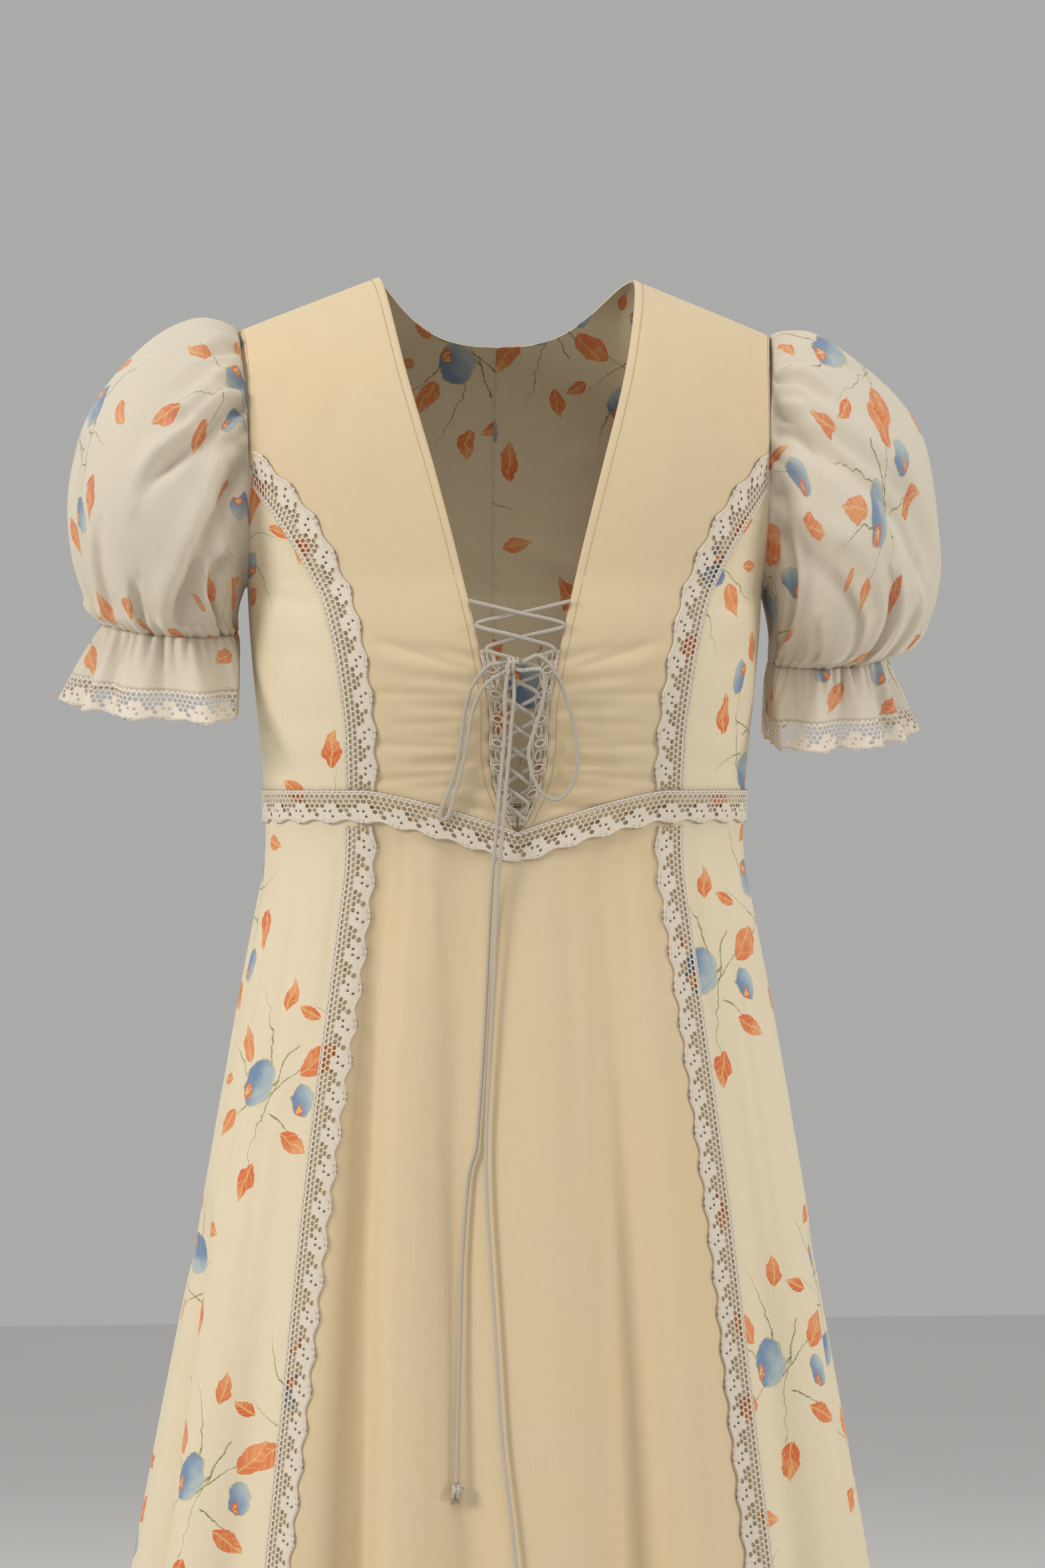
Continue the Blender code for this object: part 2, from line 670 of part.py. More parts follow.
def cloth(name, columns, rows, surface, thickness, look, outward=1, closed=False, holes=()):
    """A grid laid on the surface, with a second skin inside it. outward is -1 where it faces in."""
    bpy.ops.mesh.primitive_grid_add(x_subdivisions=columns, y_subdivisions=rows, size=1.0)
    piece = bpy.context.active_object
    shell = bmesh.new()
    shell.from_mesh(piece.data)
    cut = [face for face in shell.faces if holes and hole_at(face, columns, rows, holes)]
    bmesh.ops.delete(shell, geom=cut, context="FACES")
    inside = lifted(surface, -thickness, outward)
    inner_place = {}
    for corner in shell.verts:
        across, up = corner.co.x + 0.5, corner.co.y + 0.5
        inner_place[corner] = inside(across, up) * MM
        corner.co = surface(across, up) * MM
    if closed:
        bmesh.ops.remove_doubles(shell, verts=shell.verts, dist=1e-6)
    if outward < 0:
        bmesh.ops.reverse_faces(shell, faces=shell.faces)
    thicken(shell, list(shell.verts), inner_place)
    shell.to_mesh(piece.data)
    shell.free()
    piece.data.shade_smooth()
    return adopt(piece, name, look)


def hole_at(face, columns, rows, holes):
    """True where a face's column and row, counted from 0, are among the holes."""
    middle = face.calc_center_median()
    return (int((middle.x + 0.5) * columns), int((middle.y + 0.5) * rows)) in holes


def knob(name, place, half_sizes, look):
    bpy.ops.mesh.primitive_uv_sphere_add(segments=8, ring_count=6, radius=MM)
    piece = bpy.context.active_object
    for corner in piece.data.vertices:
        corner.co = Vector([c * h for c, h in zip(corner.co, half_sizes)])
    piece.location = Vector(place) * MM
    piece.data.shade_smooth()
    return adopt(piece, name, look)


def smooth_route(points, spacing):
    """Points every spacing along a smooth curve through the given ones."""
    given = np.array(points, float)
    steps = np.arange(len(given))
    fine = np.linspace(0, len(given) - 1, 40 * len(given))
    curve = []
    for column in range(3):
        table = np.column_stack([steps, given[:, column]])
        curve.append([read_off(table, 1, at) for at in fine])
    curve = np.array(curve).T
    run = np.concatenate([[0], np.cumsum(np.linalg.norm(np.diff(curve, axis=0), axis=1))])
    count = max(2, round(run[-1] / spacing))
    wanted = np.linspace(0, run[-1], count + 1)
    return [Vector([np.interp(at, run, curve[:, c]) for c in range(3)]) for at in wanted]


def cord(name, route, diameter=CORD):
    line = bpy.data.curves.new(name, "CURVE")
    line.dimensions = "3D"
    spline = line.splines.new("POLY")
    spline.points.add(len(route) - 1)
    for point, place in zip(spline.points, route):
        point.co = (*(place * MM), 1)
    line.bevel_depth = diameter / 2 * MM
    line.bevel_resolution = 2
    line.use_fill_caps = True
    piece = bpy.data.objects.new(name, line)
    bpy.data.collections["prairie_dress"].objects.link(piece)
    finish_material(piece, BRAID)
    return piece


def front_face(x, drop):
    """Outermost y of the front at a place: yoke or skirt, with its folds."""
    half, front = (read_off(SECTIONS, column, max(drop, ARMHOLE_DROP)) for column in (HALF, FRONT))
    if drop < WAIST_DROP + WAIST_POINT:
        return -front * (1 - (abs(x) / half) ** (2 / ROUND)) ** (ROUND / 2) - SEAM
    direction = math.copysign(direction_at(abs(x), half), x)
    return ring_point(direction, half, front, front)[1] + skirt_folds(direction, drop)


def off_cloth(places):
    return [(x, front_face(x, drop) - lift, -drop) for x, drop, lift in places]


def lacing_route(start_side):
    """One of the two cords that cross in the opening. They pass over each other by turns."""
    route = []
    for rung, (drop, x) in enumerate(LACING):
        side = start_side if rung % 2 else -start_side
        route.append((side * x, drop, CORD_OVER))
        if rung < len(LACING) - 1:
            over = (rung % 2 == 0) == (start_side > 0)
            low_drop, low_x = LACING[rung + 1]
            lift = CORD_CROSS if over else CORD_OVER
            route.append((side * (x - low_x) / 2, (drop + low_drop) / 2, lift))
    return route


def build_trims():
    for side, turn, mirror in (("right", 1, lambda s: s), ("left", -1, mirrored)):
        over = lifted(mirror(bodice_lace), LACE_LIFT, turn)
        cloth(f"bodice_lace_{side}", 2, 16, over, LACE, TRIM, turn)
        over = lifted(skirt_lace(turn), SKIRT_LIFT, -turn)
        cloth(f"skirt_lace_{side}", 2, 22, over, LACE, TRIM, -turn)
        holes = [(1, 2 * hole + 1) for hole in range(PLACKET_HOLES)]
        rows = 2 * PLACKET_HOLES + 1
        cloth(f"placket_lace_{side}", 3, rows, mirror(placket), LACE, TRIM, turn, holes=holes)
    over = lifted(waist_lace, WAIST_LIFT, 1)
    cloth("waist_lace", 64, 1, over, LACE, TRIM, 1)


def build_cords():
    cord("lacing_right", [Vector(place) for place in off_cloth(lacing_route(1))])
    cord("lacing_left", [Vector(place) for place in off_cloth(lacing_route(-1))])
    cord("bow_left", smooth_route(off_cloth(BOW_LEFT), 11))
    cord("bow_right", smooth_route(off_cloth(BOW_RIGHT), 11))
    cord("tail_left", smooth_route(off_cloth(TAIL_LEFT), 18))
    cord("tail_right", smooth_route(off_cloth(TAIL_RIGHT), 18))
    knob("bow_knot", off_cloth([KNOT])[0], KNOT_HALF, BRAID)
    for side, route in (("left", TAIL_LEFT), ("right", TAIL_RIGHT)):
        x, drop, lift = route[-1]
        end = off_cloth([(x, drop + CORD_END / 2 + CORD_END_GAP, lift)])[0]
        knob(f"tail_end_{side}", end, (CORD_END_HALF, CORD_END_HALF, CORD_END / 2), BRAID)


def build_bodice():
    for side, turn, mirror in (("right", 1, lambda s: s), ("left", -1, mirrored)):
        cloth(f"front_yoke_{side}", 6, YOKE_ROWS, mirror(yoke), CLOTH, PLAIN, turn)
        cloth(f"side_front_{side}", 5, 10, mirror(side_front), CLOTH, PRINT, turn)
        cloth(f"back_{side}", 8, BACK_ROWS, mirror(back), CLOTH, PRINT, turn)


def build_skirt():
    seam = [tuple(-value for value in SKIRT_SEAM), SKIRT_SEAM]
    side = [tuple(-value for value in SIDE_SEAM), SIDE_SEAM]
    cloth("skirt_front", 28, 11, skirt_panel(seam[0], seam[1]), CLOTH, PLAIN, -1)
    cloth("skirt_side_front_left", 12, 11, skirt_panel(side[0], seam[0]), CLOTH, PRINT, -1)
    cloth("skirt_side_front_right", 12, 11, skirt_panel(seam[1], side[1]), CLOTH, PRINT, -1)
    cloth("skirt_back_right", 20, 11, skirt_panel(side[1], (180, 180)), CLOTH, PRINT, -1)
    cloth("skirt_back_left", 20, 11, skirt_panel((-180, -180), side[0]), CLOTH, PRINT, -1)


def build_sleeves():
    for side, turn, mirror in (("right", 1, lambda s: s), ("left", -1, mirrored)):
        cloth(f"sleeve_{side}", 39, 7, mirror(puff(side)), SHEER, VOILE, turn, closed=True)
        cloth(f"sleeve_ruffle_{side}", 40, 2, mirror(cuff(side, 0, 1)), SHEER, VOILE, -turn, closed=True)
        cloth(f"cuff_lace_{side}", 40, 1, mirror(cuff(side, 1.02, 2)), LACE, TRIM, -turn, closed=True)


def main():
    for thing in list(bpy.data.objects):
        bpy.data.objects.remove(thing)
    dress = bpy.data.collections.new("prairie_dress")
    bpy.context.scene.collection.children.link(dress)
    build_bodice()
    build_skirt()
    build_sleeves()
    build_trims()
    build_cords()


main()
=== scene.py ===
"""Looks of the prairie dress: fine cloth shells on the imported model's forms, laces made of thread,
the laced cords and the materials. Shapes are worked out in millimetres below the shoulder, in the
model's own frame: the front faces -Y, +X is to the right of the picture and +Z is up."""

import math

import bmesh
import bpy
import numpy as np
from bpy.props import FloatProperty, FloatVectorProperty, IntProperty, PointerProperty
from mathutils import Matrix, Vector


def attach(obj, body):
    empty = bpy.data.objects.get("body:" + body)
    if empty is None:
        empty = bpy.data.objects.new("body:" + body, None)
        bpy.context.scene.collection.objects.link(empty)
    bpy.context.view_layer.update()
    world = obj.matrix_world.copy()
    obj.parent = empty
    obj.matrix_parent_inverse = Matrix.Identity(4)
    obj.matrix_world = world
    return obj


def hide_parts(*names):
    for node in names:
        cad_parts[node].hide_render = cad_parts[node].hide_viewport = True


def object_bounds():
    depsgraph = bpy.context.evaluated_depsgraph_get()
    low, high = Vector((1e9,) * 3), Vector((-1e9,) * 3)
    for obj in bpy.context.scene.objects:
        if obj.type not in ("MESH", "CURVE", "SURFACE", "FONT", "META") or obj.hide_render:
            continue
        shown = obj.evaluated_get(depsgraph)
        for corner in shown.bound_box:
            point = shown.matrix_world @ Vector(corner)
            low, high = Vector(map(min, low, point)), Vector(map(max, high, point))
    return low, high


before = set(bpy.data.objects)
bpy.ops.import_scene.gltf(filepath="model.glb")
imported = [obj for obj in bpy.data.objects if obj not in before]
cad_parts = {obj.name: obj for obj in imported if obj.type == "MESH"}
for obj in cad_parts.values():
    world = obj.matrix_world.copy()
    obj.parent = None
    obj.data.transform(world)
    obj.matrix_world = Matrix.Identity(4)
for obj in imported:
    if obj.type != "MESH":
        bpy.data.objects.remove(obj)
CAD_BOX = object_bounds()
HEM_Z = CAD_BOX[0].z

bl_info = {
    "name": "Prairie dress",
    "version": (1, 0, 0),
    "blender": (4, 5, 0),
    "location": "View3D > Sidebar > Dress",
    "description": "Cloth panels, puff sleeves, lace trims and laced cords of a prairie dress",
    "category": "Object",
}

MM = 0.001
SEAM = 0.2          # each panel stops this far short of a seam line
ROLL_WIDTH = 1.4    # a sewn edge turns in over this width, by this depth and this far over the line
ROLL_DEPTH = 0.9
ROLL_OVER = 0.35
WAIST_GAP = 0.8
SHOULDER_GAP = 0.1

# Body of the dress
NECK_HALF = 78.0
TIP_HALF = 165.0
TIP_DROP = 34.0
ARMHOLE_DROP = 188.0
ARMHOLE_HALF = 158.0
ARMHOLE_FRONT = 47.0
ARMHOLE_BACK = 52.0
WAIST_DROP = 323.0
WAIST_POINT = 25.0
WAIST_POINT_HALF = 90.0
WAIST_SHARP = 1.3
HEM_DROP = 1400.0
BEHIND = 89.99
ROUND = 0.86
ARCH = 0.87
CORNER = 0.2556
BACK_NECK = 0.42

SECTIONS = np.array([
    # drop, half width, front, back
    (188, 158.0, 104, 97),
    (215, 156.5, 108, 94),
    (250, 153.5, 106, 90),
    (285, 150.0, 99, 87),
    (325, 147.0, 91, 85),
    (360, 147.5, 90, 86),
    (390, 153.0, 92, 90),
    (450, 164.5, 99, 102),
    (525, 178.5, 109, 120),
    (680, 203.0, 131, 146),
    (1000, 252.0, 178, 192),
    (1400, 315.0, 226, 238),
])
HALF, FRONT, BACK = 1, 2, 3     # its columns

OPENING = np.array([
    # drop, distance from the centre
    (0, 78.0), (60, 66.5), (130, 48.0), (190, 33.0), (235, 23.5), (271, 17.8),
    (298, 17.2), (318, 13.5), (336, 4.0), (341, 0.3), (348, 0.3),
])
PRINCESS = np.array([
    # drop down the neck side, distance from the centre
    (105, 158.0), (119.7, 148.3), (138, 136.5), (160.5, 124.0), (182, 114.0), (198, 107.8),
    (222, 102.3), (250, 97.8), (290, 93.8), (323, 92.0), (348, 92.0),
])
BODICE_LACE = np.array([
    # share, scalloped edge x and drop, straight edge x and drop
    (0.00, 83.0, 336, 100.5, 336),
    (0.12, 84.5, 292, 102.0, 292),
    (0.24, 89.0, 250, 106.5, 250),
    (0.36, 93.5, 222, 111.0, 223),
    (0.47, 99.0, 197, 116.5, 200),
    (0.56, 105.5, 179.5, 123.0, 184),
    (0.68, 116.0, 155.4, 132.0, 165.5),
    (0.80, 130.0, 130.8, 142.0, 146.5),
    (0.91, 144.0, 110, 149.5, 133),
    (1.00, 155.0, 94, 155.0, 121.5),
])
RUCHES = (
    # drop at the lacing, drop at the far end, length, depth
    (236, 228, 40, 1.4),
    (251, 246, 46, 1.8),
    (266, 263, 50, 2.2),
    (281, 281, 52, 2.0),
    (296, 299, 58, 2.6),
    (311, 312, 52, 2.2),
    (327, 316, 40, 1.6),
)
RUCHE_HALF = 3.6
SKIRT_SEAM = (36.0, 38.5)
SIDE_SEAM = (90.0, 92.0)
SKIRT_FOLDS = (
    # waist direction, hem direction, half width, depth at the hem, starts at
    (-29.5, -21.5, 4.0, 34.0, 325.0),
    (-36.5, -31.0, 6.0, -10.0, 420.0),
    (-12.0, -4.0, 4.6, 20.0, 325.0),
    (-21.0, -13.0, 6.0, -12.0, 345.0),
    (1.0, 5.0, 5.5, -13.0, 345.0),
    (17.0, 14.5, 4.4, 26.0, 335.0),
    (27.0, 24.0, 6.5, -12.0, 360.0),
    (36.0, 33.5, 4.0, 12.0, 620.0),
    (-50.0, -47.0, 5.0, 12.0, 480.0),
    (-66.0, -60.0, 8.5, -20.0, 560.0),
    (-82.0, -77.0, 5.5, 44.0, 560.0),
    (-96.0, -94.0, 8.0, -22.0, 600.0),
    (49.0, 46.0, 5.0, 14.0, 460.0),
    (66.0, 60.0, 8.5, -20.0, 560.0),
    (82.0, 76.0, 5.5, 42.0, 580.0),
    (96.0, 93.0, 8.0, -20.0, 600.0),
    (112.0, 110.0, 5.5, 32.0, 330.0),
    (128.0, 127.0, 7.0, -16.0, 345.0),
    (143.0, 143.0, 5.0, 30.0, 330.0),
    (158.0, 158.0, 7.0, -16.0, 345.0),
    (171.0, 171.0, 4.6, 26.0, 330.0),
    (-112.0, -111.0, 5.5, 34.0, 330.0),
    (-127.0, -127.0, 7.0, -16.0, 345.0),
    (-142.0, -142.0, 5.0, 28.0, 330.0),
    (-157.0, -157.0, 7.0, -16.0, 345.0),
    (-172.0, -172.0, 4.6, 26.0, 330.0),
)
FOLD_GROWTH = 0.62
SWING = 1.6

SLEEVES = {
    "left": np.array([
        # outer x, outer drop, inner x, inner drop, half depth, middle y
        (165, 34, 158, 188, 49, 2),
        (186, 26, 159.5, 191, 58, 1),
        (213, 36, 160.5, 194, 66, 0),
        (238, 60, 161.5, 197, 71, -1),
        (257, 90, 162.5, 200, 72, -2),
        (267, 130, 163.5, 204, 68, -2),
        (266, 166, 164.5, 208, 61, -2),
        (258, 193, 165.0, 212, 51, -1),
        (245, 212, 165.5, 217, 41, 0),
    ], float),
    "right": np.array([
        (165, 34, 158, 188, 49, 2),
        (186, 31, 159.5, 192, 58, 1),
        (214, 46, 160.5, 197, 66, 0),
        (243, 71, 161.5, 202, 71, -1),
        (260, 100, 162.5, 208, 72, -2),
        (268, 150, 163.5, 215, 69, -2),
        (269, 188, 164.0, 222, 61, -2),
        (257, 218, 164.5, 229, 50, -1),
        (235, 230, 165.0, 235, 38, 0),
    ], float),
}
SLEEVE_TILT = 7.0
CUFF_OUT = {"left": (0.0, 14.0, 21.0), "right": (0.0, 10.0, 15.0)}
CUFF_DROP = (0.0, 30.0, 47.0)
RUFFLE_WAVES = 10
RUFFLE_WAVE = 8.0
SLEEVE_GATHERS = 13
ARM_CLEAR = 160.0       # the ruffle stays this far out from the centre, beside the body
ARM_SOFT = 6.0

WAIST_LACE = 19.0
SKIRT_LACE = 19.0
PLACKET_LACE = 9.5
PLACKET_DROPS = (233.0, 336.0)

CORD = 2.4
CORD_OVER = 1.9
CORD_CROSS = 5.0
LACING = (
    # drop, distance from the centre
    (202, 30.0), (216, 26.0), (230, 20.0), (243, 12.5), (257, 10.5), (271, 8.5),
    (285, 8.0), (298, 8.0), (311, 7.0), (322, 6.0), (332, 5.0),
)
KNOT = (-5.5, 240.0, 9.0)
KNOT_HALF = (4.6, 4.0, 4.2)
CORD_END = 8.0
BOW_STRANDS = (
    # what the bow and the tails lead into, from the middle of its knot
    ((-5.4, 0.0, 1.0), (0.0, 0.3, 1.6), (5.4, 0.0, 0.5)),
    ((-6.2, -0.5, -5.5), (-3.6, -0.7, -3.7), (0.0, -0.8, -1.6), (3.4, -1.9, -2.8), (6.6, -2.5, -3.5)),
    ((-2.7, -2.0, -6.0), (-2.3, -2.3, -3.4), (-0.9, -1.8, -1.0)),
    ((0.7, -0.2, -5.2), (0.6, -0.6, -3.0), (0.0, -0.8, -0.5)),
)
END_STRANDS = (
    ((-2.3, 0.0, 0.1), (0.0, -0.3, 0.9), (2.3, 0.0, 1.7)),
    ((-2.3, 0.0, -1.7), (0.0, -0.3, -0.9), (2.3, 0.0, -0.1)),
)

# The bow and tails: distance right of the centre, drop, height off the cloth
BOW_LEFT = (
    (-10.8, 239, 9), (-18, 240, 8), (-24, 246, 6.5), (-29, 254, 5), (-32.5, 268, 4), (-34.5, 285, 4),
    (-37, 300, 4), (-41, 314, 4), (-45.5, 325, 4), (-45.5, 330.5, 4), (-41.5, 329, 4),
    (-37.5, 316, 4), (-33.5, 300, 4), (-30.5, 284, 4), (-28, 268, 4.5), (-23, 255, 6), (-16.5, 248, 8),
    (-11.5, 245.5, 9.5),
)
BOW_RIGHT = (
    (-0.3, 239.5, 9), (5.5, 236, 9), (10, 234.5, 8.5), (16.5, 239, 7.5), (23.5, 250, 6), (29, 264, 5),
    (33, 277, 4), (35, 291, 4), (34.5, 303, 4), (30.5, 313, 4), (24, 319, 4), (16, 317, 4),
    (10.5, 310, 5), (7, 301, 6), (5.5, 290, 7), (8, 280, 7), (12, 266, 7), (14, 254, 8),
    (12.5, 244, 11), (7.5, 242.5, 12), (0.8, 243.5, 11.5),
)
TAIL_LEFT = (
    (-8.2, 245.6, 11), (-9.3, 258, 10), (-9, 272, 8), (-9.5, 290, 7), (-11, 310, 7),
    (-12.5, 330, 8), (-14, 348, 8), (-15.5, 366, 6), (-17, 392, 4), (-19, 430, 3.5), (-21.5, 472, 3.5),
    (-24.5, 510, 3.5), (-26, 525, 3.5), (-29.5, 537, 3.5), (-31.5, 552, 3.5), (-34.5, 590, 3.5),
    (-36, 630, 3.5), (-37.5, 671, 3.5), (-39, 718, 3.5),
)
TAIL_RIGHT = (
    (-4.8, 244.8, 9.2), (-4, 258, 9.5), (-5, 272, 8), (-6, 290, 7.5), (-7.5, 310, 7.5),
    (-9, 330, 8.5), (-10.3, 348, 8.5), (-11.8, 366, 6.5), (-13.2, 392, 5), (-15.2, 430, 4.5),
    (-17.8, 472, 4.5), (-20, 510, 4.5), (-20.5, 536, 4.5), (-19.5, 568, 4.5), (-16, 632, 4.5),
    (-13, 691, 4.5), (-9, 730, 4.5), (-4.5, 777, 4.5), (-2, 820, 4.5), (-1, 858, 4.5),
)

# Rows of the yoke and the back, as in the solids
YOKE_ROWS = 37
NEAR_TOP = 0.975
YOKE_HEIGHTS = (
    (0, -1), (25 / YOKE_ROWS, -0.25), (27 / YOKE_ROWS, 0), (31 / YOKE_ROWS, CORNER),
    (32 / YOKE_ROWS, CORNER + 0.02), (1 - 1 / YOKE_ROWS, NEAR_TOP), (1, 1),
)
CORNER_WIDTH = 1.2
SEAM_TURN = 0.17
SIDE_HEIGHTS = ((0, -1), (0.3, -0.25), (0.6, 0), (1, CORNER))
BACK_ROWS = 15
BACK_SHARES = ((0, 0), (6 / BACK_ROWS, 0.5), (1 - 1 / BACK_ROWS, (1 + NEAR_TOP) / 2), (1, 1))
NECK_FROM = 0.5         # share across the back where the neckline starts
NECK_CURVE = 2.4
BACK_WIDE = 112.0       # distance from the centre of the back's middle column at the armhole

# ---- creases that the scene adds, in millimetres

SKIRT_CREASES = (
    # waist-side direction and drop, hem-side direction and drop, half width, depth (out if negative)
    (-24.0, 330, -23.0, 470, 5.0, 1.6),
    (-17.0, 345, -15.0, 430, 4.0, -1.1),
    (-6.5, 350, -6.0, 520, 5.0, 1.3),
    (9.0, 345, 8.5, 560, 6.0, 1.5),
    (23.0, 332, 21.0, 480, 4.5, 1.7),
    (31.0, 330, 29.5, 440, 4.0, 1.2),
    (-33.0, 345, -30.0, 560, 5.0, 1.4),
    (-26.5, 560, -23.0, 1150, 5.5, -3.2),
    (-9.0, 620, -7.0, 1200, 8.0, -2.2),
    (2.0, 760, 1.0, 1400, 9.0, 3.0),
    (12.0, 540, 11.0, 900, 7.0, -1.6),
    (19.5, 900, 19.0, 1400, 8.0, -3.0),
    (30.0, 640, 29.0, 1400, 9.0, 2.6),
    (-42.0, 345, -41.0, 470, 6.0, 1.2),
    (-57.0, 340, -55.0, 640, 7.0, 1.6),
    (-73.0, 360, -70.0, 560, 7.0, 1.5),
    (-88.0, 345, -86.0, 500, 6.0, -1.2),
    (-53.0, 700, -50.0, 1400, 9.0, -3.0),
    (43.0, 340, 42.0, 500, 6.0, 1.2),
    (56.0, 350, 54.0, 620, 7.0, 1.5),
    (74.0, 345, 71.0, 600, 7.0, 1.6),
    (87.0, 340, 86.0, 520, 6.0, -1.2),
    (53.0, 680, 51.0, 1400, 9.0, -2.8),
    (104.0, 332, 103.0, 520, 5.0, 1.8),
    (119.0, 332, 118.0, 560, 5.0, 1.6),
    (135.0, 332, 135.0, 500, 4.5, 1.8),
    (150.0, 332, 150.0, 620, 5.0, 1.5),
    (165.0, 332, 165.0, 520, 4.5, 1.7),
    (-104.0, 332, -103.0, 560, 5.0, 1.7),
    (-119.0, 332, -119.0, 500, 5.0, 1.8),
    (-135.0, 332, -134.0, 600, 4.5, 1.5),
    (-150.0, 332, -150.0, 520, 5.0, 1.8),
    (-165.0, 332, -165.0, 580, 4.5, 1.6),
    (135.0, 820, 134.0, 1400, 10.0, 3.5),
    (-135.0, 760, -134.0, 1400, 10.0, 3.2),
    (165.0, 900, 164.0, 1400, 9.0, 3.0),
    (-149.0, 860, -149.0, 1400, 9.0, -3.0),
)
FRONT_CREASES = (
    # start x and drop, end x and drop, half width, depth (out if negative): the bodice's front
    (30, 243, 86, 224, 3.2, 1.5),
    (30, 258, 90, 256, 2.8, 1.4),
    (28, 273, 76, 275, 2.6, 1.3),
    (28, 289, 90, 286, 3.0, 1.6),
    (26, 304, 90, 308, 2.6, 1.7),
    (20, 322, 88, 330, 2.8, 1.6),
    (26, 297, 62, 297, 2.2, 1.2),
    (28, 281, 58, 280, 2.2, -1.0),
    (56, 244, 92, 232, 4.5, -1.0),
    (112, 182, 150, 158, 5.0, 1.2),
    (118, 206, 156, 192, 5.5, 1.4),
    (108, 236, 154, 226, 6.0, 0.9),
    (104, 268, 150, 276, 6.0, 0.8),
    (102, 300, 148, 298, 4.5, 1.1),
    (88, 40, 118, 128, 9.0, 0.9),
    (128, 52, 146, 104, 7.0, 1.0),
    (100, 60, 92, 150, 8.0, -0.6),
)
BACK_CREASES = (
    (20, 160, 96, 188, 7.0, 1.0),
    (12, 236, 90, 262, 7.0, 1.2),
    (16, 292, 120, 284, 5.5, 1.3),
    (60, 306, 146, 312, 4.5, 1.1),
    (126, 120, 150, 196, 6.0, 1.1),
    (40, 110, 110, 84, 8.0, 0.8),
)
SLEEVE_FOLDS = {
    # half width, depth, lip beside it, then its path as shares round and along the sleeve
    "left": (
        (3.4, 2.6, 0.5, (0.600, 0.00), (0.604, 0.05), (0.634, 0.15)),
        (4.0, 3.6, 0.7, (0.652, 0.00), (0.684, 0.10), (0.703, 0.22), (0.702, 0.36)),
        (4.6, 5.6, 0.9, (0.690, 0.00), (0.708, 0.09), (0.731, 0.25), (0.726, 0.37), (0.714, 0.52)),
        (3.0, 2.2, 0.6, (0.722, 0.00), (0.738, 0.07), (0.756, 0.16)),
        (7.5, 8.0, 0.5, (0.765, 0.03), (0.796, 0.12), (0.826, 0.26), (0.836, 0.47), (0.826, 0.67),
         (0.780, 0.92), (0.765, 1.02)),
        (5.0, 4.6, 0.8, (0.880, 0.28), (0.866, 0.51), (0.868, 0.66), (0.890, 0.84), (0.895, 1.0)),
        (4.5, 2.4, 0.5, (0.644, 0.68), (0.637, 0.83), (0.628, 0.98)),
        (4.0, 2.2, 0.5, (0.716, 0.78), (0.708, 0.88), (0.702, 1.0)),
        (5.0, 2.0, 0.3, (0.560, 0.55), (0.570, 0.75), (0.575, 0.97)),
        (3.6, 3.0, 0.6, (0.400, 0.00), (0.378, 0.12), (0.352, 0.30)),
        (4.4, 4.0, 0.7, (0.345, 0.00), (0.310, 0.14), (0.262, 0.34), (0.230, 0.50)),
        (4.0, 3.2, 0.6, (0.290, 0.00), (0.240, 0.16), (0.170, 0.36)),
        (5.5, 4.2, 0.5, (0.300, 0.55), (0.312, 0.78), (0.318, 1.0)),
        (5.0, 3.6, 0.5, (0.180, 0.50), (0.205, 0.76), (0.215, 1.0)),
        (4.5, 2.8, 0.5, (0.420, 0.64), (0.425, 0.82), (0.430, 1.0)),
    ),
    "right": (
        (3.2, 2.4, 0.6, (0.638, 0.00), (0.650, 0.07), (0.656, 0.14), (0.661, 0.22)),
        (3.6, 3.0, 0.7, (0.680, 0.00), (0.696, 0.07), (0.712, 0.14), (0.722, 0.24)),
        (6.0, 6.2, -0.8, (0.706, 0.00), (0.727, 0.20), (0.722, 0.38), (0.698, 0.52), (0.660, 0.62),
         (0.612, 0.73), (0.556, 0.82)),
        (3.0, 2.4, 0.5, (0.748, 0.00), (0.762, 0.08), (0.780, 0.18)),
        (8.0, 6.0, 0.5, (0.800, 0.08), (0.836, 0.18), (0.836, 0.36), (0.822, 0.48), (0.785, 0.62),
         (0.764, 0.75), (0.758, 0.92), (0.757, 1.0)),
        (4.0, 4.0, 0.8, (0.712, 0.68), (0.706, 0.80), (0.708, 0.92), (0.707, 1.0)),
        (5.0, 4.6, 0.8, (0.838, 0.06), (0.882, 0.36), (0.908, 0.58), (0.945, 0.80)),
        (4.0, 2.8, 0.5, (0.850, 0.70), (0.836, 0.85), (0.832, 1.0)),
        (4.5, 2.8, 0.5, (0.640, 0.76), (0.650, 0.88), (0.652, 1.0)),
        (4.5, 2.4, 0.3, (0.560, 0.80), (0.580, 0.90), (0.590, 1.0)),
        (3.6, 3.0, 0.6, (0.395, 0.00), (0.370, 0.12), (0.340, 0.30)),
        (4.4, 4.0, 0.7, (0.340, 0.00), (0.300, 0.14), (0.255, 0.34), (0.236, 0.52)),
        (4.0, 3.0, 0.6, (0.280, 0.00), (0.230, 0.16), (0.180, 0.34)),
        (5.5, 4.2, 0.5, (0.290, 0.58), (0.300, 0.78), (0.306, 1.0)),
        (5.0, 3.6, 0.5, (0.190, 0.52), (0.200, 0.76), (0.206, 1.0)),
        (4.5, 2.8, 0.5, (0.430, 0.66), (0.428, 0.82), (0.420, 1.0)),
    ),
}
FOLD_STRENGTH = 1.4
SLEEVE_ROUND = 440.0    # lengths by which the sleeve's folds are measured
SLEEVE_ALONG = 190.0
HEAD_TURN = 0.11        # share of the sleeve over which it turns out of the armhole
HEAD_TUCK, HEAD_DEPTH = 1.4, 1.1        # how far it reaches under the armhole's edge
HEAD_BROAD, HEAD_FINE = 2.4, 1.9        # its gathers, at the armhole and at the elastic
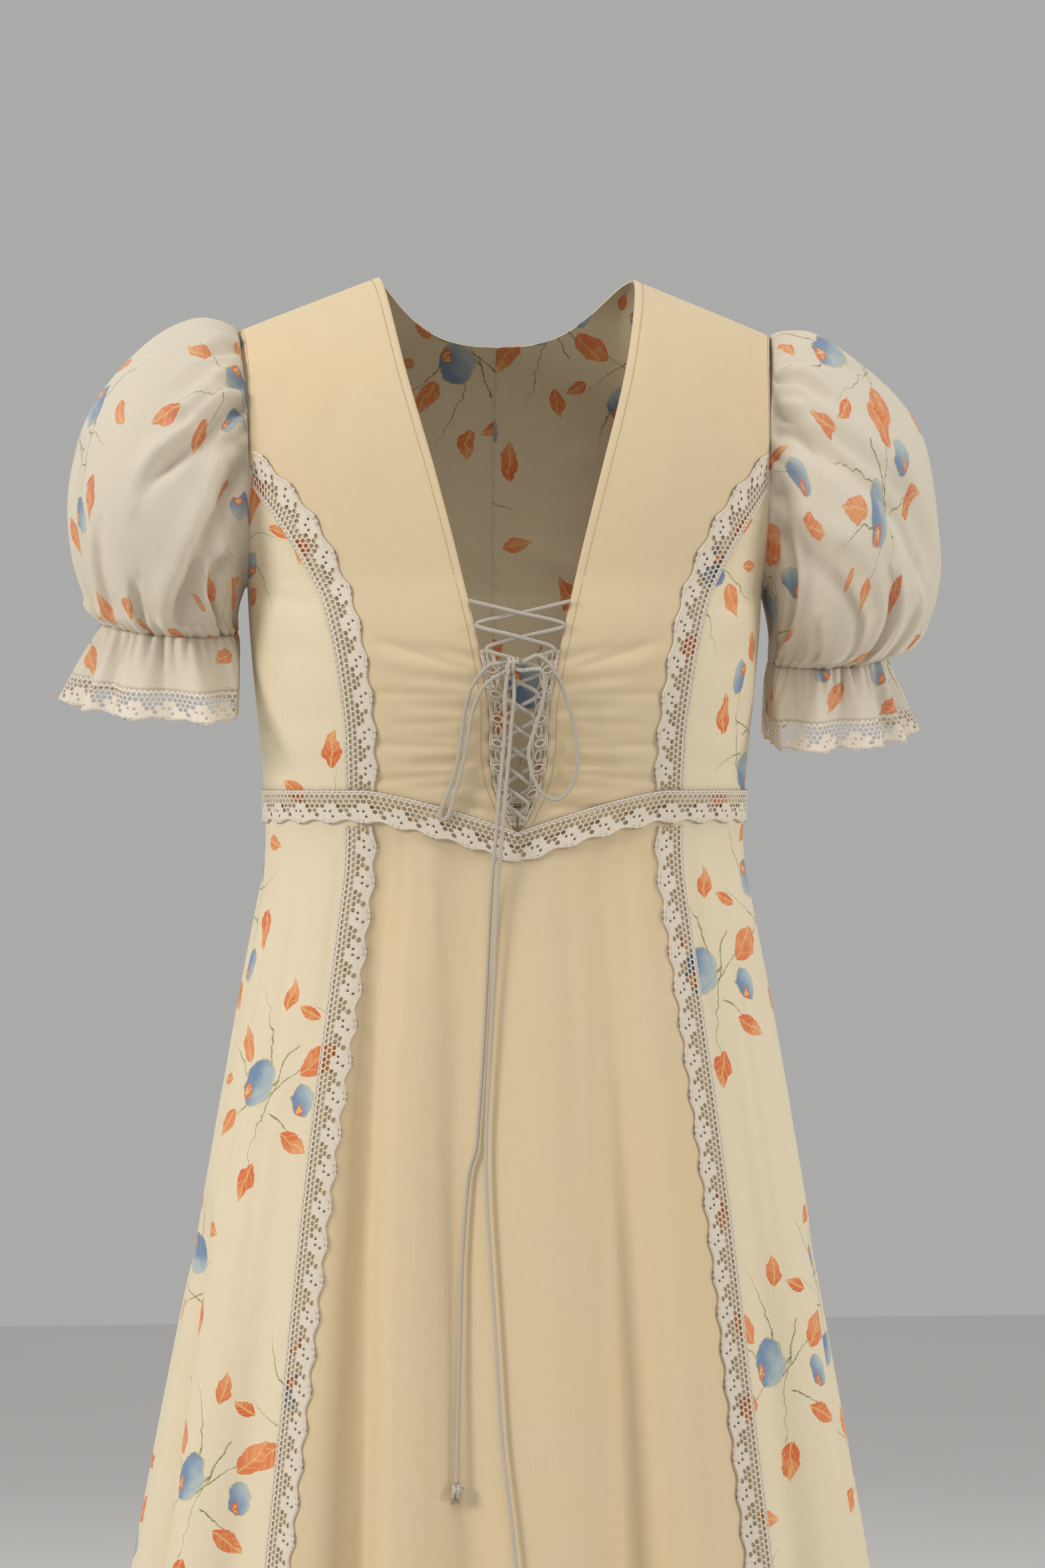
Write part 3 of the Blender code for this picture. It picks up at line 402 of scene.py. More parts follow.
WRIST_BROAD, WRIST_FINE = 2.4, 2.1
WRIST_HANG = 4.5        # how far the puff stands out just above the elastic

# ---- lace: one repeat of the net and its dense fans, from the straight edge to the scalloped one
# ---- o open, O wide open, . small hole, # dense

LACE_CHART = (
    "......",
    "oooooo",
    "oooooo",
    "oo##oo",
    "o#..#o",
    "O##.##",
    "##..##",
)
LACE_REPEAT = 21.7
LACE_SCALLOP = 0.065    # of the lace's width
HOLE_RIMS = {"o": 0.125, "O": 0.09, ".": 0.33}    # thread round a hole, in hexagon widths

# ---- print: sprays drawn in millimetres round their own middles

SPRAY_TILE = (132.0, 236.0)
LEAVES = (
    # spray, x, y, angle in degrees, half length, half width, how red
    (0, 27, 25, 38, 14.0, 7.6, 0.55),
    (0, -33, 22, 96, 13.5, 6.0, 0.85),
    (0, -30, -31, 168, 9.5, 4.8, 0.45),
    (0, 13, -42, 28, 10.0, 4.6, 0.8),
    (0, -6, 63, 118, 11.5, 5.6, 0.65),
    (0, 48, -3, -24, 9.0, 4.0, 0.9),
    (1, -30, -20, 226, 14.5, 8.0, 0.6),
    (1, 29, -27, 300, 13.0, 6.8, 0.4),
    (1, -22, 31, 152, 12.0, 6.0, 0.8),
    (1, 38, 22, 52, 11.5, 5.4, 0.55),
    (1, 9, 56, 74, 12.5, 6.4, 0.9),
    (1, -3, -58, 262, 10.5, 5.0, 0.7),
    (1, 49, -4, 10, 8.0, 3.6, 0.35),
)
FRUITS = (
    # spray, x, y, angle, half length, half width
    (0, 6, -14, -10, 16.5, 12.5),
    (0, -21, 44, 70, 11.0, 8.0),
    (1, 12, -4, 66, 15.5, 11.5),
    (1, -24, 5, 110, 10.5, 7.8),
)
TWIGS = (
    # spray, x, y, angle, half length, rise
    (0, -13, 18, 98, 34, 5.0),
    (0, 14, 4, -22, 34, 4.0),
    (0, -21, -8, 200, 16, -2.5),
    (0, -8, -42, 252, 20, 4.0),
    (0, 8, 18, 28, 20, -3.0),
    (0, 28, -33, -60, 19, 3.5),
    (1, -2, 14, 74, 44, -6.0),
    (1, 22, 8, 30, 30, 4.0),
    (1, -17, -8, 212, 26, 3.5),
    (1, 12, -34, 286, 30, -4.5),
    (1, -14, 24, 144, 17, 2.5),
    (1, 36, -16, -38, 18, -3.0),
)

CAMERA_TURN = -5.0      # degrees round the dress
CAMERA_AWAY = 2.6
CAMERA_LOOK = (0.011, 0.0, -0.310)
PICTURE_TALL = 0.964    # metres of the dress from the picture's top to its bottom
SENSOR = 36.0


# ---- what a user may change


class DressSizes(bpy.types.PropertyGroup):
    cloth_wall: FloatProperty(
        name="Cotton", description="Thickness of the cotton panels", default=0.0008, unit="LENGTH"
    )
    sheer_wall: FloatProperty(
        name="Voile", description="Thickness of the sleeves' voile", default=0.0005, unit="LENGTH"
    )
    lace_wall: FloatProperty(
        name="Lace", description="Thickness of the lace's threads", default=0.0006, unit="LENGTH"
    )
    cloth_step: FloatProperty(
        name="Cloth step", description="Length of a mesh face along the cloth", default=0.005, unit="LENGTH"
    )
    cord_sides: IntProperty(name="Cord sides", description="Faces round a cord", default=10, min=6)
    stitch: FloatProperty(
        name="Stitch", description="Length of a machine stitch", default=0.0024, unit="LENGTH"
    )
    hem: FloatProperty(
        name="Hem", description="Height of the hem's stitches over its edge", default=0.012, unit="LENGTH"
    )


def colour(name, description, default):
    return FloatVectorProperty(name=name, description=description, default=default, size=3, subtype="COLOR")


class DressColours(bpy.types.PropertyGroup):
    plain: colour("Plain cotton", "Straw-coloured cotton of the front", (0.735, 0.585, 0.375))
    ground: colour("Print ground", "Cotton under the print", (0.79, 0.675, 0.475))
    voile: colour("Voile", "Thin cloth of the sleeves", (0.745, 0.665, 0.53))
    lace: colour("Lace", "Ecru cotton lace", (0.89, 0.785, 0.645))
    cord: colour("Cord", "Braided silvery cord", (0.74, 0.66, 0.545))
    leaf: colour("Leaf", "Orange leaves of the print", (0.70, 0.118, 0.026))
    leaf_pale: colour("Pale leaf", "Lighter leaves", (0.80, 0.30, 0.115))
    vein: colour("Vein", "Yellow veins and the outline of the fruit", (0.78, 0.55, 0.19))
    fruit: colour("Fruit", "Blue fruit of the print", (0.115, 0.225, 0.40))
    fruit_pale: colour("Pale fruit", "Washed-out side of the fruit", (0.42, 0.51, 0.53))
    twig: colour("Twig", "Dark green twigs", (0.085, 0.105, 0.055))
    stem: colour("Stem", "Yellow-green side of the twigs", (0.36, 0.36, 0.13))
    floor: colour("Floor", "Studio floor", (0.80, 0.79, 0.775))


# ---- shapes. Each takes arrays of shares and gives places in millimetres


def read_off(table, column, at):
    """The column's values on a smooth curve through the table's rows."""
    places, values = table[:, 0], table[:, column]
    slopes = np.gradient(values, places)
    at = np.clip(at, places[0], places[-1])
    row = np.clip(np.searchsorted(places, at) - 1, 0, len(places) - 2)
    step = places[row + 1] - places[row]
    t = (at - places[row]) / step
    return (
        values[row] * (1 + 2 * t) * (1 - t) ** 2
        + values[row + 1] * t * t * (3 - 2 * t)
        + step * (slopes[row] * t * (1 - t) ** 2 - slopes[row + 1] * t * t * (1 - t))
    )


def bell(offset, half_width):
    return np.exp(-((offset / half_width) ** 2))


def power(value, exponent):
    return np.copysign(np.abs(value) ** exponent, value)


def between(low, high, share):
    return low + (high - low) * share


def at_rows(share, knots):
    return np.interp(share, [k[0] for k in knots], [k[1] for k in knots])


def joined(x, y, drop):
    return np.stack(np.broadcast_arrays(x, y, -np.asarray(drop, float)), axis=-1)


def ring_point(direction, half, front, back):
    turn = np.radians(direction)
    sine, cosine = power(np.sin(turn), ROUND), power(np.cos(turn), ROUND)
    return half * sine, -np.where(cosine > 0, front, back) * cosine


def direction_at(x, half):
    return np.degrees(np.arcsin(np.minimum(1.0, power(x / half, 1 / ROUND))))


def opening_x(drop):
    return np.maximum(SEAM, read_off(OPENING, 1, drop))


def arch(height):
    turn = np.radians(90.0 * np.maximum(height, 0.0))
    return np.sin(turn) ** ARCH, np.maximum(np.cos(turn), 0.0) ** ARCH


def shoulder_drop(x):
    return TIP_DROP * np.maximum(0.0, np.abs(x) - NECK_HALF) / (TIP_HALF - NECK_HALF)


def waist_drop(x):
    return WAIST_DROP + WAIST_POINT * np.maximum(0.0, 1 - np.abs(x) / WAIST_POINT_HALF) ** WAIST_SHARP


def neck_side_drop(height):
    below = ARMHOLE_DROP - height * (WAIST_DROP + WAIST_POINT - ARMHOLE_DROP)
    return np.where(height <= 0, below, ARMHOLE_DROP * (1 - arch(height)[0]))


def armhole_x(height):
    return ARMHOLE_HALF + (TIP_HALF - ARMHOLE_HALF) * np.maximum(height, 0.0) ** 3


def body_half(height, behind):
    """Half width of the section that a height lies on, so that it passes through the armhole."""
    low = read_off(SECTIONS, HALF, ARMHOLE_DROP - height * (WAIST_DROP - ARMHOLE_DROP))
    risen, left = arch(height)
    reach = np.where(behind, ARMHOLE_BACK, ARMHOLE_FRONT)
    edge = reach * np.sqrt(np.maximum(0.0, 1 - (2 * risen - 1) ** 2))
    front, back = (read_off(SECTIONS, column, ARMHOLE_DROP) for column in (FRONT, BACK))
    depth = np.where(behind, back, front) * np.maximum(left, 1e-6)
    share = np.minimum(edge / depth, 0.97) ** (2 / ROUND)
    return np.where(height <= 0, low, armhole_x(height) / (1 - share) ** (ROUND / 2))


def body_edge(height, behind):
    edge = direction_at(armhole_x(height), body_half(height, behind))
    return np.where(height <= 0, 90.0, edge)


def body(direction, height):
    """Point of the bodice's outer face."""
    direction, height = np.broadcast_arrays(direction, height)
    behind = np.abs(direction) > 90
    half = body_half(height, behind)
    left = np.where(height > 0, arch(height)[1], 1.0)
    x, _ = ring_point(direction, half, 1, 1)
    high_drop = ARMHOLE_DROP - (ARMHOLE_DROP - shoulder_drop(x)) * arch(height)[0]
    low_drop = ARMHOLE_DROP - height * (np.where(behind, WAIST_DROP, waist_drop(x)) - ARMHOLE_DROP)
    drop = np.where(height > 0, high_drop, low_drop)
    level = np.where(height > 0, ARMHOLE_DROP, drop)
    front, back = (read_off(SECTIONS, column, level) for column in (FRONT, BACK))
    half = np.where(height > 0, half, read_off(SECTIONS, HALF, level))
    x, y = ring_point(direction, half, front * left, back * left)
    gap = SEAM + SHOULDER_GAP * np.maximum(0.0, height) ** 8
    y = y + np.where(behind, gap, -gap)
    return joined(x, y, drop)


def ruching(x, drop):
    """How far the gathers beside the lacing stand in."""
    away = np.abs(x) - opening_x(drop)
    found = 0.0
    for start, end, length, depth in RUCHES:
        share = away / length
        middle = between(start, end, np.clip(share, 0, 1))
        fade = np.where(share < 1.2, 1 - bell(share - 1.2, 0.5), 0.0)
        found = found + depth * fade * bell(drop - middle, RUCHE_HALF)
    return found


def princess(height, half):
    seam = direction_at(read_off(PRINCESS, 1, neck_side_drop(height)), half)
    return np.minimum(seam, body_edge(height, False) - CORNER_WIDTH)


def yoke(across, up):
    height = at_rows(up, YOKE_HEIGHTS)
    half = body_half(height, False)
    start = direction_at(opening_x(neck_side_drop(height)), half)
    seam = princess(height, half) - SEAM_TURN
    end = np.where(height < CORNER + 1e-6, seam, body_edge(height, False))
    point = body(between(start, end, across), height)
    point[..., 1] += ruching(point[..., 0], -point[..., 2])
    return point


def side_front(across, up):
    height = at_rows(up, SIDE_HEIGHTS)
    start = princess(height, body_half(height, False)) + SEAM_TURN
    return body(between(start, body_edge(height, False), across), height)


def back(across, up):
    share = np.clip((across - NECK_FROM) / (1 - NECK_FROM), 0.0, 1.0)
    top = 1 - BACK_NECK * (1 - (1 - share) ** NECK_CURVE)
    height = between(-1, top, at_rows(up, BACK_SHARES))
    outer = 180 - np.minimum(body_edge(height, True), BEHIND)
    half = body_half(height, True)
    neck_x = between(BACK_WIDE, NECK_HALF, np.maximum(0.0, height) ** 0.7)
    middle = 180 - direction_at(neck_x, half)
    centre = 180 - direction_at(SEAM, half)
    outside = between(outer, middle, across / NECK_FROM)
    inside = between(middle, centre, share)
    return body(np.where(across < NECK_FROM, outside, inside), height)


def height_at(drop):
    low = -(drop - ARMHOLE_DROP) / (WAIST_DROP + WAIST_POINT - ARMHOLE_DROP)
    rise = np.clip(1 - drop / ARMHOLE_DROP, 0.0, 1.0) ** (1 / ARCH)
    return np.where(drop >= ARMHOLE_DROP, low, np.degrees(np.arcsin(rise)) / 90)


def front_place(x, drop):
    """Point of the bodice's front at a distance from the centre and a neck-side drop."""
    height = height_at(drop)
    point = body(direction_at(np.abs(x), body_half(height, False)), height)
    point[..., 0] = np.copysign(point[..., 0], x)
    return point


def bodice_lace(across, up):
    edges = [read_off(BODICE_LACE, column, up) for column in range(1, 5)]
    return front_place(between(edges[0], edges[2], across), between(edges[1], edges[3], across))


def placket(across, up):
    """Crochet edge of the opening, from its free edge to the yoke."""
    drop = between(PLACKET_DROPS[1], PLACKET_DROPS[0], up)
    edge = opening_x(drop) - 2 * SEAM
    wide = np.minimum(PLACKET_LACE, edge - 1.2)
    point = front_place(edge - wide * (1 - across), drop)
    point[..., 1] += ruching(edge, drop)
    return point


def swing(drop):
    return np.minimum(1.0, SWING * (drop - WAIST_DROP) / (HEM_DROP - WAIST_DROP))


def skirt_folds(direction, drop):
    """How far the folds move the skirt in (positive) or out."""
    found = 0.0
    for at_waist, at_hem, half_width, depth, starts in SKIRT_FOLDS:
        middle = between(at_waist, at_hem, swing(drop))
        away = (direction - middle + 180) % 360 - 180
        grown = (np.maximum(0.0, drop - starts) / (HEM_DROP - starts)) ** FOLD_GROWTH
        found = found + depth * grown * bell(away, half_width)
    return found


def taper(share):
    """1 along the middle of a crease, falling softly to 0 at its ends."""
    return np.sin(np.pi * np.clip(share, 0, 1)) ** 0.6


def skirt_creases(direction, drop):
    half = read_off(SECTIONS, HALF, drop)
    found = 0.0
    for start, low, end, high, half_width, depth in SKIRT_CREASES:
        share = (drop - low) / (high - low)
        middle = between(start, end, np.clip(share, 0, 1))
        away = np.radians((direction - middle + 180) % 360 - 180) * half
        held = taper(share) if high < HEM_DROP else np.sin(np.pi / 2 * np.clip(share, 0, 1))
        found = found + depth * held * bell(away, half_width)
    return found


def line_creases(x, y, table):
    """Creases along straight lines, each from a start to an end in the table's own two measures."""
    found = 0.0
    for x1, y1, x2, y2, half_width, depth in table:
        run = np.array((x2 - x1, y2 - y1), float)
        length = np.linalg.norm(run)
        along = ((x - x1) * run[0] + (y - y1) * run[1]) / length**2
        away = ((x - x1) * run[1] - (y - y1) * run[0]) / length
        found = found + depth * taper(along) * bell(away, half_width)
    return found


def path_fold(x, y, half_width, depth, lip, path):
    """A fold along a path of straight stretches: a trough, and a raised lip on its left side."""
    stops = np.array(path, float)
    runs = np.diff(stops, axis=0)
    lengths = np.linalg.norm(runs, axis=1)
    passed = np.concatenate([[0], np.cumsum(lengths)])
    nearest = np.full(np.shape(x), 1e9)
    away, share = np.zeros(np.shape(x)), np.zeros(np.shape(x))
    for i, (run, length) in enumerate(zip(runs, lengths)):
        dx, dy = x - stops[i, 0], y - stops[i, 1]
        along = np.clip((dx * run[0] + dy * run[1]) / length**2, 0, 1)
        gap = np.hypot(dx - along * run[0], dy - along * run[1])
        side = np.sign(dx * run[1] - dy * run[0])
        closer = gap < nearest
        nearest = np.where(closer, gap, nearest)
        away = np.where(closer, gap * side, away)
        share = np.where(closer, (passed[i] + along * length) / passed[-1], share)
    held = np.interp(share, (0, 0.12, 0.75, 1), (0.45, 1, 0.9, 0.15))
    return depth * held * (bell(away, half_width) - lip * bell(away + 1.9 * half_width, 1.2 * half_width))


def waist_at(direction):
    x, _ = ring_point(direction, read_off(SECTIONS, HALF, WAIST_DROP), 1, 1)
    return np.where(np.abs(direction) > 90, WAIST_DROP, waist_drop(x))


def skirt(direction, drop):
    """Point of the skirt's outer face, with its folds and creases."""
    half, front, behind = (read_off(SECTIONS, column, drop) for column in (HALF, FRONT, BACK))
    inward = skirt_folds(direction, drop) + skirt_creases(direction, drop)
    x, y = ring_point(direction, half, front, behind)
    flat_x, flat_y = x / half**2, y / np.where(y < 0, front, behind) ** 2
    size = np.hypot(flat_x, flat_y)
    return joined(x - inward * flat_x / size, y - inward * flat_y / size, drop)


def skirt_panel(start, end):
    def surface(across, down):
        fallen = np.clip(down, 0.0, 1.0) ** 1.4
        level = between(WAIST_DROP, HEM_DROP, fallen)
        low, high = (between(seam[0], seam[1], swing(level)) for seam in (start, end))
        trim = np.degrees(SEAM / (0.8 * read_off(SECTIONS, HALF, level)))
        direction = between(low + trim, high - trim, across)
        return skirt(direction, between(waist_at(direction) + WAIST_GAP, HEM_DROP, fallen))

    return surface


def waist_lace(around, up):
    direction = between(-180 + SEAM, 180 - SEAM, around)
    drop = waist_at(direction) + WAIST_LACE * (0.5 - up)
    half, front, behind = (read_off(SECTIONS, column, drop) for column in (HALF, FRONT, BACK))
    x, y = ring_point(direction, half, front, behind)
    return joined(x, y, drop)


def skirt_lace(side):
    def surface(across, down):
        drop = between(WAIST_DROP + WAIST_LACE / 2 + 2.5, HEM_DROP, np.clip(down, 0.0, 1.0) ** 1.2)
        half = np.degrees(SKIRT_LACE / 2 / (0.85 * read_off(SECTIONS, HALF, drop)))
        direction = between(*SKIRT_SEAM, swing(drop)) + half * (2 * across - 1)
        return skirt(side * direction, drop)

    return surface


def sleeve_ring(side, along):
    table = SLEEVES[side]
    steps = np.column_stack([np.linspace(0, 1, len(table)), table])
    return [read_off(steps, column, along) for column in range(1, 7)]


def sleeve_point(side, around, along, outward=0.0):
    """Point of the puff. around runs once round from the underarm over the back and the top."""
    outer_x, outer_drop, inner_x, inner_drop, depth, middle = sleeve_ring(side, along)
    turn = 2 * np.pi * (around + 0.5)
    up_share = (1 + np.cos(turn)) / 2
    x = between(inner_x, outer_x, up_share)
    drop = between(inner_drop, outer_drop, up_share) + SLEEVE_TILT * along**2 * np.sin(turn)
    y = middle * np.minimum(1, 4 * along) - depth * np.sin(turn)
    height = (ARMHOLE_DROP - drop) / (ARMHOLE_DROP - TIP_DROP)
    at_armhole = ARMHOLE_HALF + (TIP_HALF - ARMHOLE_HALF) * height**3 - HEAD_TUCK
    head_y = -np.where(np.sin(turn) > 0, ARMHOLE_FRONT, ARMHOLE_BACK) * np.sin(turn)
    off_seam = np.clip(np.asarray(along) / HEAD_TURN, 0, 1) ** 0.7
    point = joined(between(at_armhole, x, off_seam), between(head_y, y, off_seam), drop)
    centre = joined((inner_x + outer_x) / 2, middle, (inner_drop + outer_drop) / 2)
    away = point - centre
    away /= np.linalg.norm(away, axis=-1, keepdims=True)
    sunk = HEAD_DEPTH * np.clip(1 - np.asarray(along) / 0.012, 0, 1)
    return point + away * np.asarray(outward - sunk)[..., None]


def gathers(around, count):
    """Waves round a gathered edge, uneven in width and height, from -1 to 1."""
    turn = 2 * np.pi * around
    shifted = count * turn + 0.9 * np.sin(3 * turn + 1) + 0.5 * np.sin(5 * turn)
    return np.cos(shifted) * (0.78 + 0.22 * np.sin(4 * turn + 2))


def sleeve_folds(side, around, along):
    x, y = around * SLEEVE_ROUND, along * SLEEVE_ALONG
    found = 0.0
    for half_width, depth, lip, *path in SLEEVE_FOLDS[side]:
        stops = [(a * SLEEVE_ROUND, b * SLEEVE_ALONG) for a, b in path]
        found = found + FOLD_STRENGTH * path_fold(x, y, half_width, depth, lip, stops)
    return found


def wrist_gathers(around):
    """Radial waves of the cloth at the elastic, shared by the puff and the ruffle."""
    beside_arm = 0.35 + 0.65 * np.abs(np.sin(np.pi * around)) ** 0.7
    waves = WRIST_BROAD * gathers(around, SLEEVE_GATHERS) + WRIST_FINE * gathers(around + 0.01, 37)
    return beside_arm * waves


def puff(side):
    def surface(around, along):
        upper = 0.5 - 0.5 * np.cos(2 * np.pi * around)
        near, far = bell(along - 1, 0.10), bell(along - 1, 0.28)
        hang = WRIST_HANG * (0.1 + 0.9 * upper**0.5) * bell(along - 0.945, 0.035)
        wrist = near * wrist_gathers(around) + hang
        wrist = wrist + (far - near) * WRIST_BROAD * gathers(around, SLEEVE_GATHERS)
        head = HEAD_BROAD * gathers(around, 17) * bell(along - 0.14, 0.13)
        head = head + HEAD_FINE * gathers(around + 0.02, 41) * bell(along - 0.06, 0.08)
        head = head * upper * np.clip(along / 0.03, 0, 1)
        inward = sleeve_folds(side, around, along) * np.clip(along / 0.03, 0, 1)
        return sleeve_point(side, around, along, wrist + head - inward)

    return surface


def cuff(side, start, end):
    """Ruffle or lace under the puff, between two of the flare's steps."""

    def surface(around, down):
        step = np.maximum(0.0, between(start, end, down))
        out = np.interp(step, (0, 1, 2), CUFF_OUT[side])
        fall = np.interp(step, (0, 1, 2), CUFF_DROP) + 4 * SEAM * np.clip(8 * step, 0, 1)
        broad, fine = gathers(around, RUFFLE_WAVES), gathers(around + 0.03, 23)
        wave = RUFFLE_WAVE * (step / 2) ** 0.55 * (broad + 0.22 * fine * np.clip(1.6 - step, 0, 1))
        near = np.clip(1 - 1.3 * step, 0, 1) * wrist_gathers(around)
        point = sleeve_point(side, around, np.ones_like(step), out + wave + near)
        inner = 0.5 + 0.5 * np.cos(2 * np.pi * around)
        x, y, z = point[..., 0], point[..., 1], point[..., 2] - fall
        limit = ARM_CLEAR + 0.25 * (out + wave) + ARM_SOFT
        x = np.where(x < limit, limit - ARM_SOFT + ARM_SOFT * np.exp((x - limit) / ARM_SOFT), x)
        return np.stack([x, y * (1 + 0.1 * inner * step), z], axis=-1)

    return surface


def mirrored(surface):
    def other(across, up):
        return surface(across, up) * np.array((-1.0, 1.0, 1.0))

    return other


def normals(surface, across, up, outward):
    """Unit normals of the surface, pointing out of the dress."""
    tiny = 1e-3
    a = surface(across + tiny, up) - surface(across - tiny, up)
    b = surface(across, up + tiny) - surface(across, up - tiny)
    found = np.cross(a, b) * outward
    return found / np.maximum(np.linalg.norm(found, axis=-1, keepdims=True), 1e-9)


def creased(surface, creases, outward):
    """The surface pushed in along its own normal, by the creases worked out from its places."""

    def moved(across, up):
        place = surface(across, up)
        return place - normals(surface, across, up, outward) * creases(place)[..., None]

    return moved


def bodice_creases(place):
    """Soft creases on either side of the front and of the back, fading towards the edges."""
    x, drop = np.abs(place[..., 0]), -place[..., 2]
    front = line_creases(x, drop, FRONT_CREASES)
    behind = line_creases(x, drop, BACK_CREASES)
    return np.where(place[..., 1] < 0, front, behind)


# ---- making meshes


def deselect():
    for thing in list(bpy.context.selected_objects):
        thing.select_set(False)


def only(piece):
    deselect()
    piece.select_set(True)
    bpy.context.view_layer.objects.active = piece


def own_mesh(piece):
    """Its place goes into its mesh, so that the object stands at the origin."""
    only(piece)
    bpy.ops.object.transform_apply(location=True, rotation=True, scale=True)


def apply_all(piece):
    only(piece)
    for modifier in list(piece.modifiers):
        bpy.ops.object.modifier_apply(modifier=modifier.name)


def shares_of(piece):
    """Shares across and along a one-metre grid, corner by corner."""
    flat = np.empty(3 * len(piece.data.vertices))
    piece.data.vertices.foreach_get("co", flat)
    flat = flat.reshape(-1, 3)
    return flat[:, 0] + 0.5, flat[:, 1] + 0.5


def put_corners(piece, places):
    piece.data.vertices.foreach_set("co", (places * MM).ravel())
    piece.data.update()


def put_uv(piece, u, v):
    """The piece's map, in millimetres, from values at its corners."""
    mesh = piece.data
    layer = mesh.uv_layers[0] if mesh.uv_layers else mesh.uv_layers.new(name="UVMap")
    corner = np.empty(len(mesh.loops), int)
    mesh.loops.foreach_get("vertex_index", corner)
    layer.data.foreach_set("uv", np.column_stack([u[corner], v[corner]]).astype(np.float32).ravel())


def lengths_along(places, axis):
    steps = np.linalg.norm(np.diff(places, axis=axis), axis=-1)
    start = np.zeros_like(np.take(steps, [0], axis=axis))
    return np.concatenate([start, np.cumsum(steps, axis=axis)], axis=axis)


def closer_ends(share, count, low, high):
    """Moves the lines next to the two ends of a grid to those shares from them."""
    line = np.rint(share * count)
    inner = between(low, 1 - high, (line - 1) / (count - 2))
    return np.where(line == 0, 0.0, np.where(line == count, 1.0, inner))


def roll_seams(grid, outs, seams):
    """Turns the chosen edges of a grid of places in, so that neighbours meet in a groove."""
    edges = (
        (np.s_[:, 0], np.s_[:, 1]), (np.s_[:, -1], np.s_[:, -2]),
        (np.s_[0, :], np.s_[1, :]), (np.s_[-1, :], np.s_[-2, :]),
    )
    moved = grid.copy()
    for (edge, beside), seamed in zip(edges, seams):
        if seamed:
            away = grid[edge] - grid[beside]
            away /= np.maximum(np.linalg.norm(away, axis=-1, keepdims=True), 1e-9)
            moved[edge] += away * ROLL_OVER - outs[edge] * ROLL_DEPTH
    return moved


def lay_cloth(name, columns, rows, surface, wall, outward=1, shift=(0, 0), closed=False, seams=None):
    """A thin panel on the surface, mapped in real millimetres, and its flat size in metres.
    seams says which of its left, right, bottom and top edges are sewn to a neighbour."""
    deselect()
    bpy.ops.mesh.primitive_grid_add(x_subdivisions=columns, y_subdivisions=rows, size=1.0)
    piece = bpy.context.active_object
    piece.name = piece.data.name = name
    across, up = shares_of(piece)
    if seams:
        wide, tall = (run_of(line) for line in middle_lines(surface))
        across = closer_ends(across, columns, ROLL_WIDTH / wide, ROLL_WIDTH / wide)
        up = closer_ends(up, rows, ROLL_WIDTH / tall, ROLL_WIDTH / tall)
    places = surface(across, up)
    grid = places.reshape(rows + 1, columns + 1, 3)
    if seams:
        outs = normals(surface, across, up, outward).reshape(grid.shape)
        grid = roll_seams(grid, outs, seams)
    put_corners(piece, grid.reshape(-1, 3))
    wide, tall = lengths_along(grid, 1), lengths_along(grid, 0)
    u = wide / wide[:, [-1]] * wide[:, -1].max() if closed else wide
    u = (u - u[:, [columns // 2]]) * outward
    put_uv(piece, u.ravel() + shift[0], tall.ravel() + shift[1])
    if closed:
        weld(piece)
    if outward < 0:
        piece.data.flip_normals()
    thicken(piece, wall)
    area = float(sum(face_sizes(grid).ravel())) * MM**2
    flat = (float(wide[:, -1].max()) * MM, float(tall[-1].max()) * MM)
    return piece, flat, min(area, flat[0] * flat[1])


def middle_lines(surface):
    """Places across the middle of a surface, and along its middle."""
    fine = np.linspace(0, 1, 200)
    half = np.full_like(fine, 0.5)
    return surface(fine, half), surface(half, fine)


def face_sizes(grid):
    diagonal = grid[1:, 1:] - grid[:-1, :-1]
    other = grid[1:, :-1] - grid[:-1, 1:]
    return np.linalg.norm(np.cross(diagonal, other), axis=-1) / 2


def weld(piece, distance=1e-6):
    shell = bmesh.new()
    shell.from_mesh(piece.data)
    bmesh.ops.remove_doubles(shell, verts=shell.verts, dist=distance)
    shell.to_mesh(piece.data)
    shell.free()


def thicken(piece, wall):
    """Solidify inwards. The inner skin takes the piece's second material."""
    solid = piece.modifiers.new("Wall", "SOLIDIFY")
    solid.thickness = wall
    solid.offset = -1
    solid.material_offset = 1
    apply_all(piece)
    piece.data.shade_smooth()


def dress_piece(piece, nodes, slot, looks):
    """Materials, the nodes that the piece stands for, and its body."""
    piece.data.materials.clear()
    for look in looks:
        piece.data.materials.append(look)
    if nodes:
        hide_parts(*nodes)
    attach(piece, "root")
    return piece


def smooth_route(points, spacing):
    """Places every spacing along a smooth curve through the given ones."""
    given = np.array(points, float)
    steps = np.arange(len(given))
    fine = np.linspace(0, len(given) - 1, 60 * len(given))
    curve = np.column_stack([
        read_off(np.column_stack([steps, given[:, column]]), 1, fine) for column in range(3)
    ])
    return evened(curve, spacing)


def evened(curve, spacing):
    run = np.concatenate([[0], np.cumsum(np.linalg.norm(np.diff(curve, axis=0), axis=1))])
    wanted = np.linspace(0, run[-1], max(2, round(run[-1] / spacing)) + 1)
    return np.column_stack([np.interp(wanted, run, curve[:, column]) for column in range(3)])


def frames_along(path):
    """Two unit vectors square to the path at each of its points, turning as little as they can."""
    ahead = np.gradient(path, axis=0)
    ahead /= np.linalg.norm(ahead, axis=1, keepdims=True)
    side = np.cross(ahead[0], (0.3, -1.0, 0.2))
    sides = []
    for direction in ahead:
        side = side - direction * np.dot(side, direction)
        side = side / np.linalg.norm(side)
        sides.append(side)
    sides = np.array(sides)
    return sides, np.cross(ahead, sides)


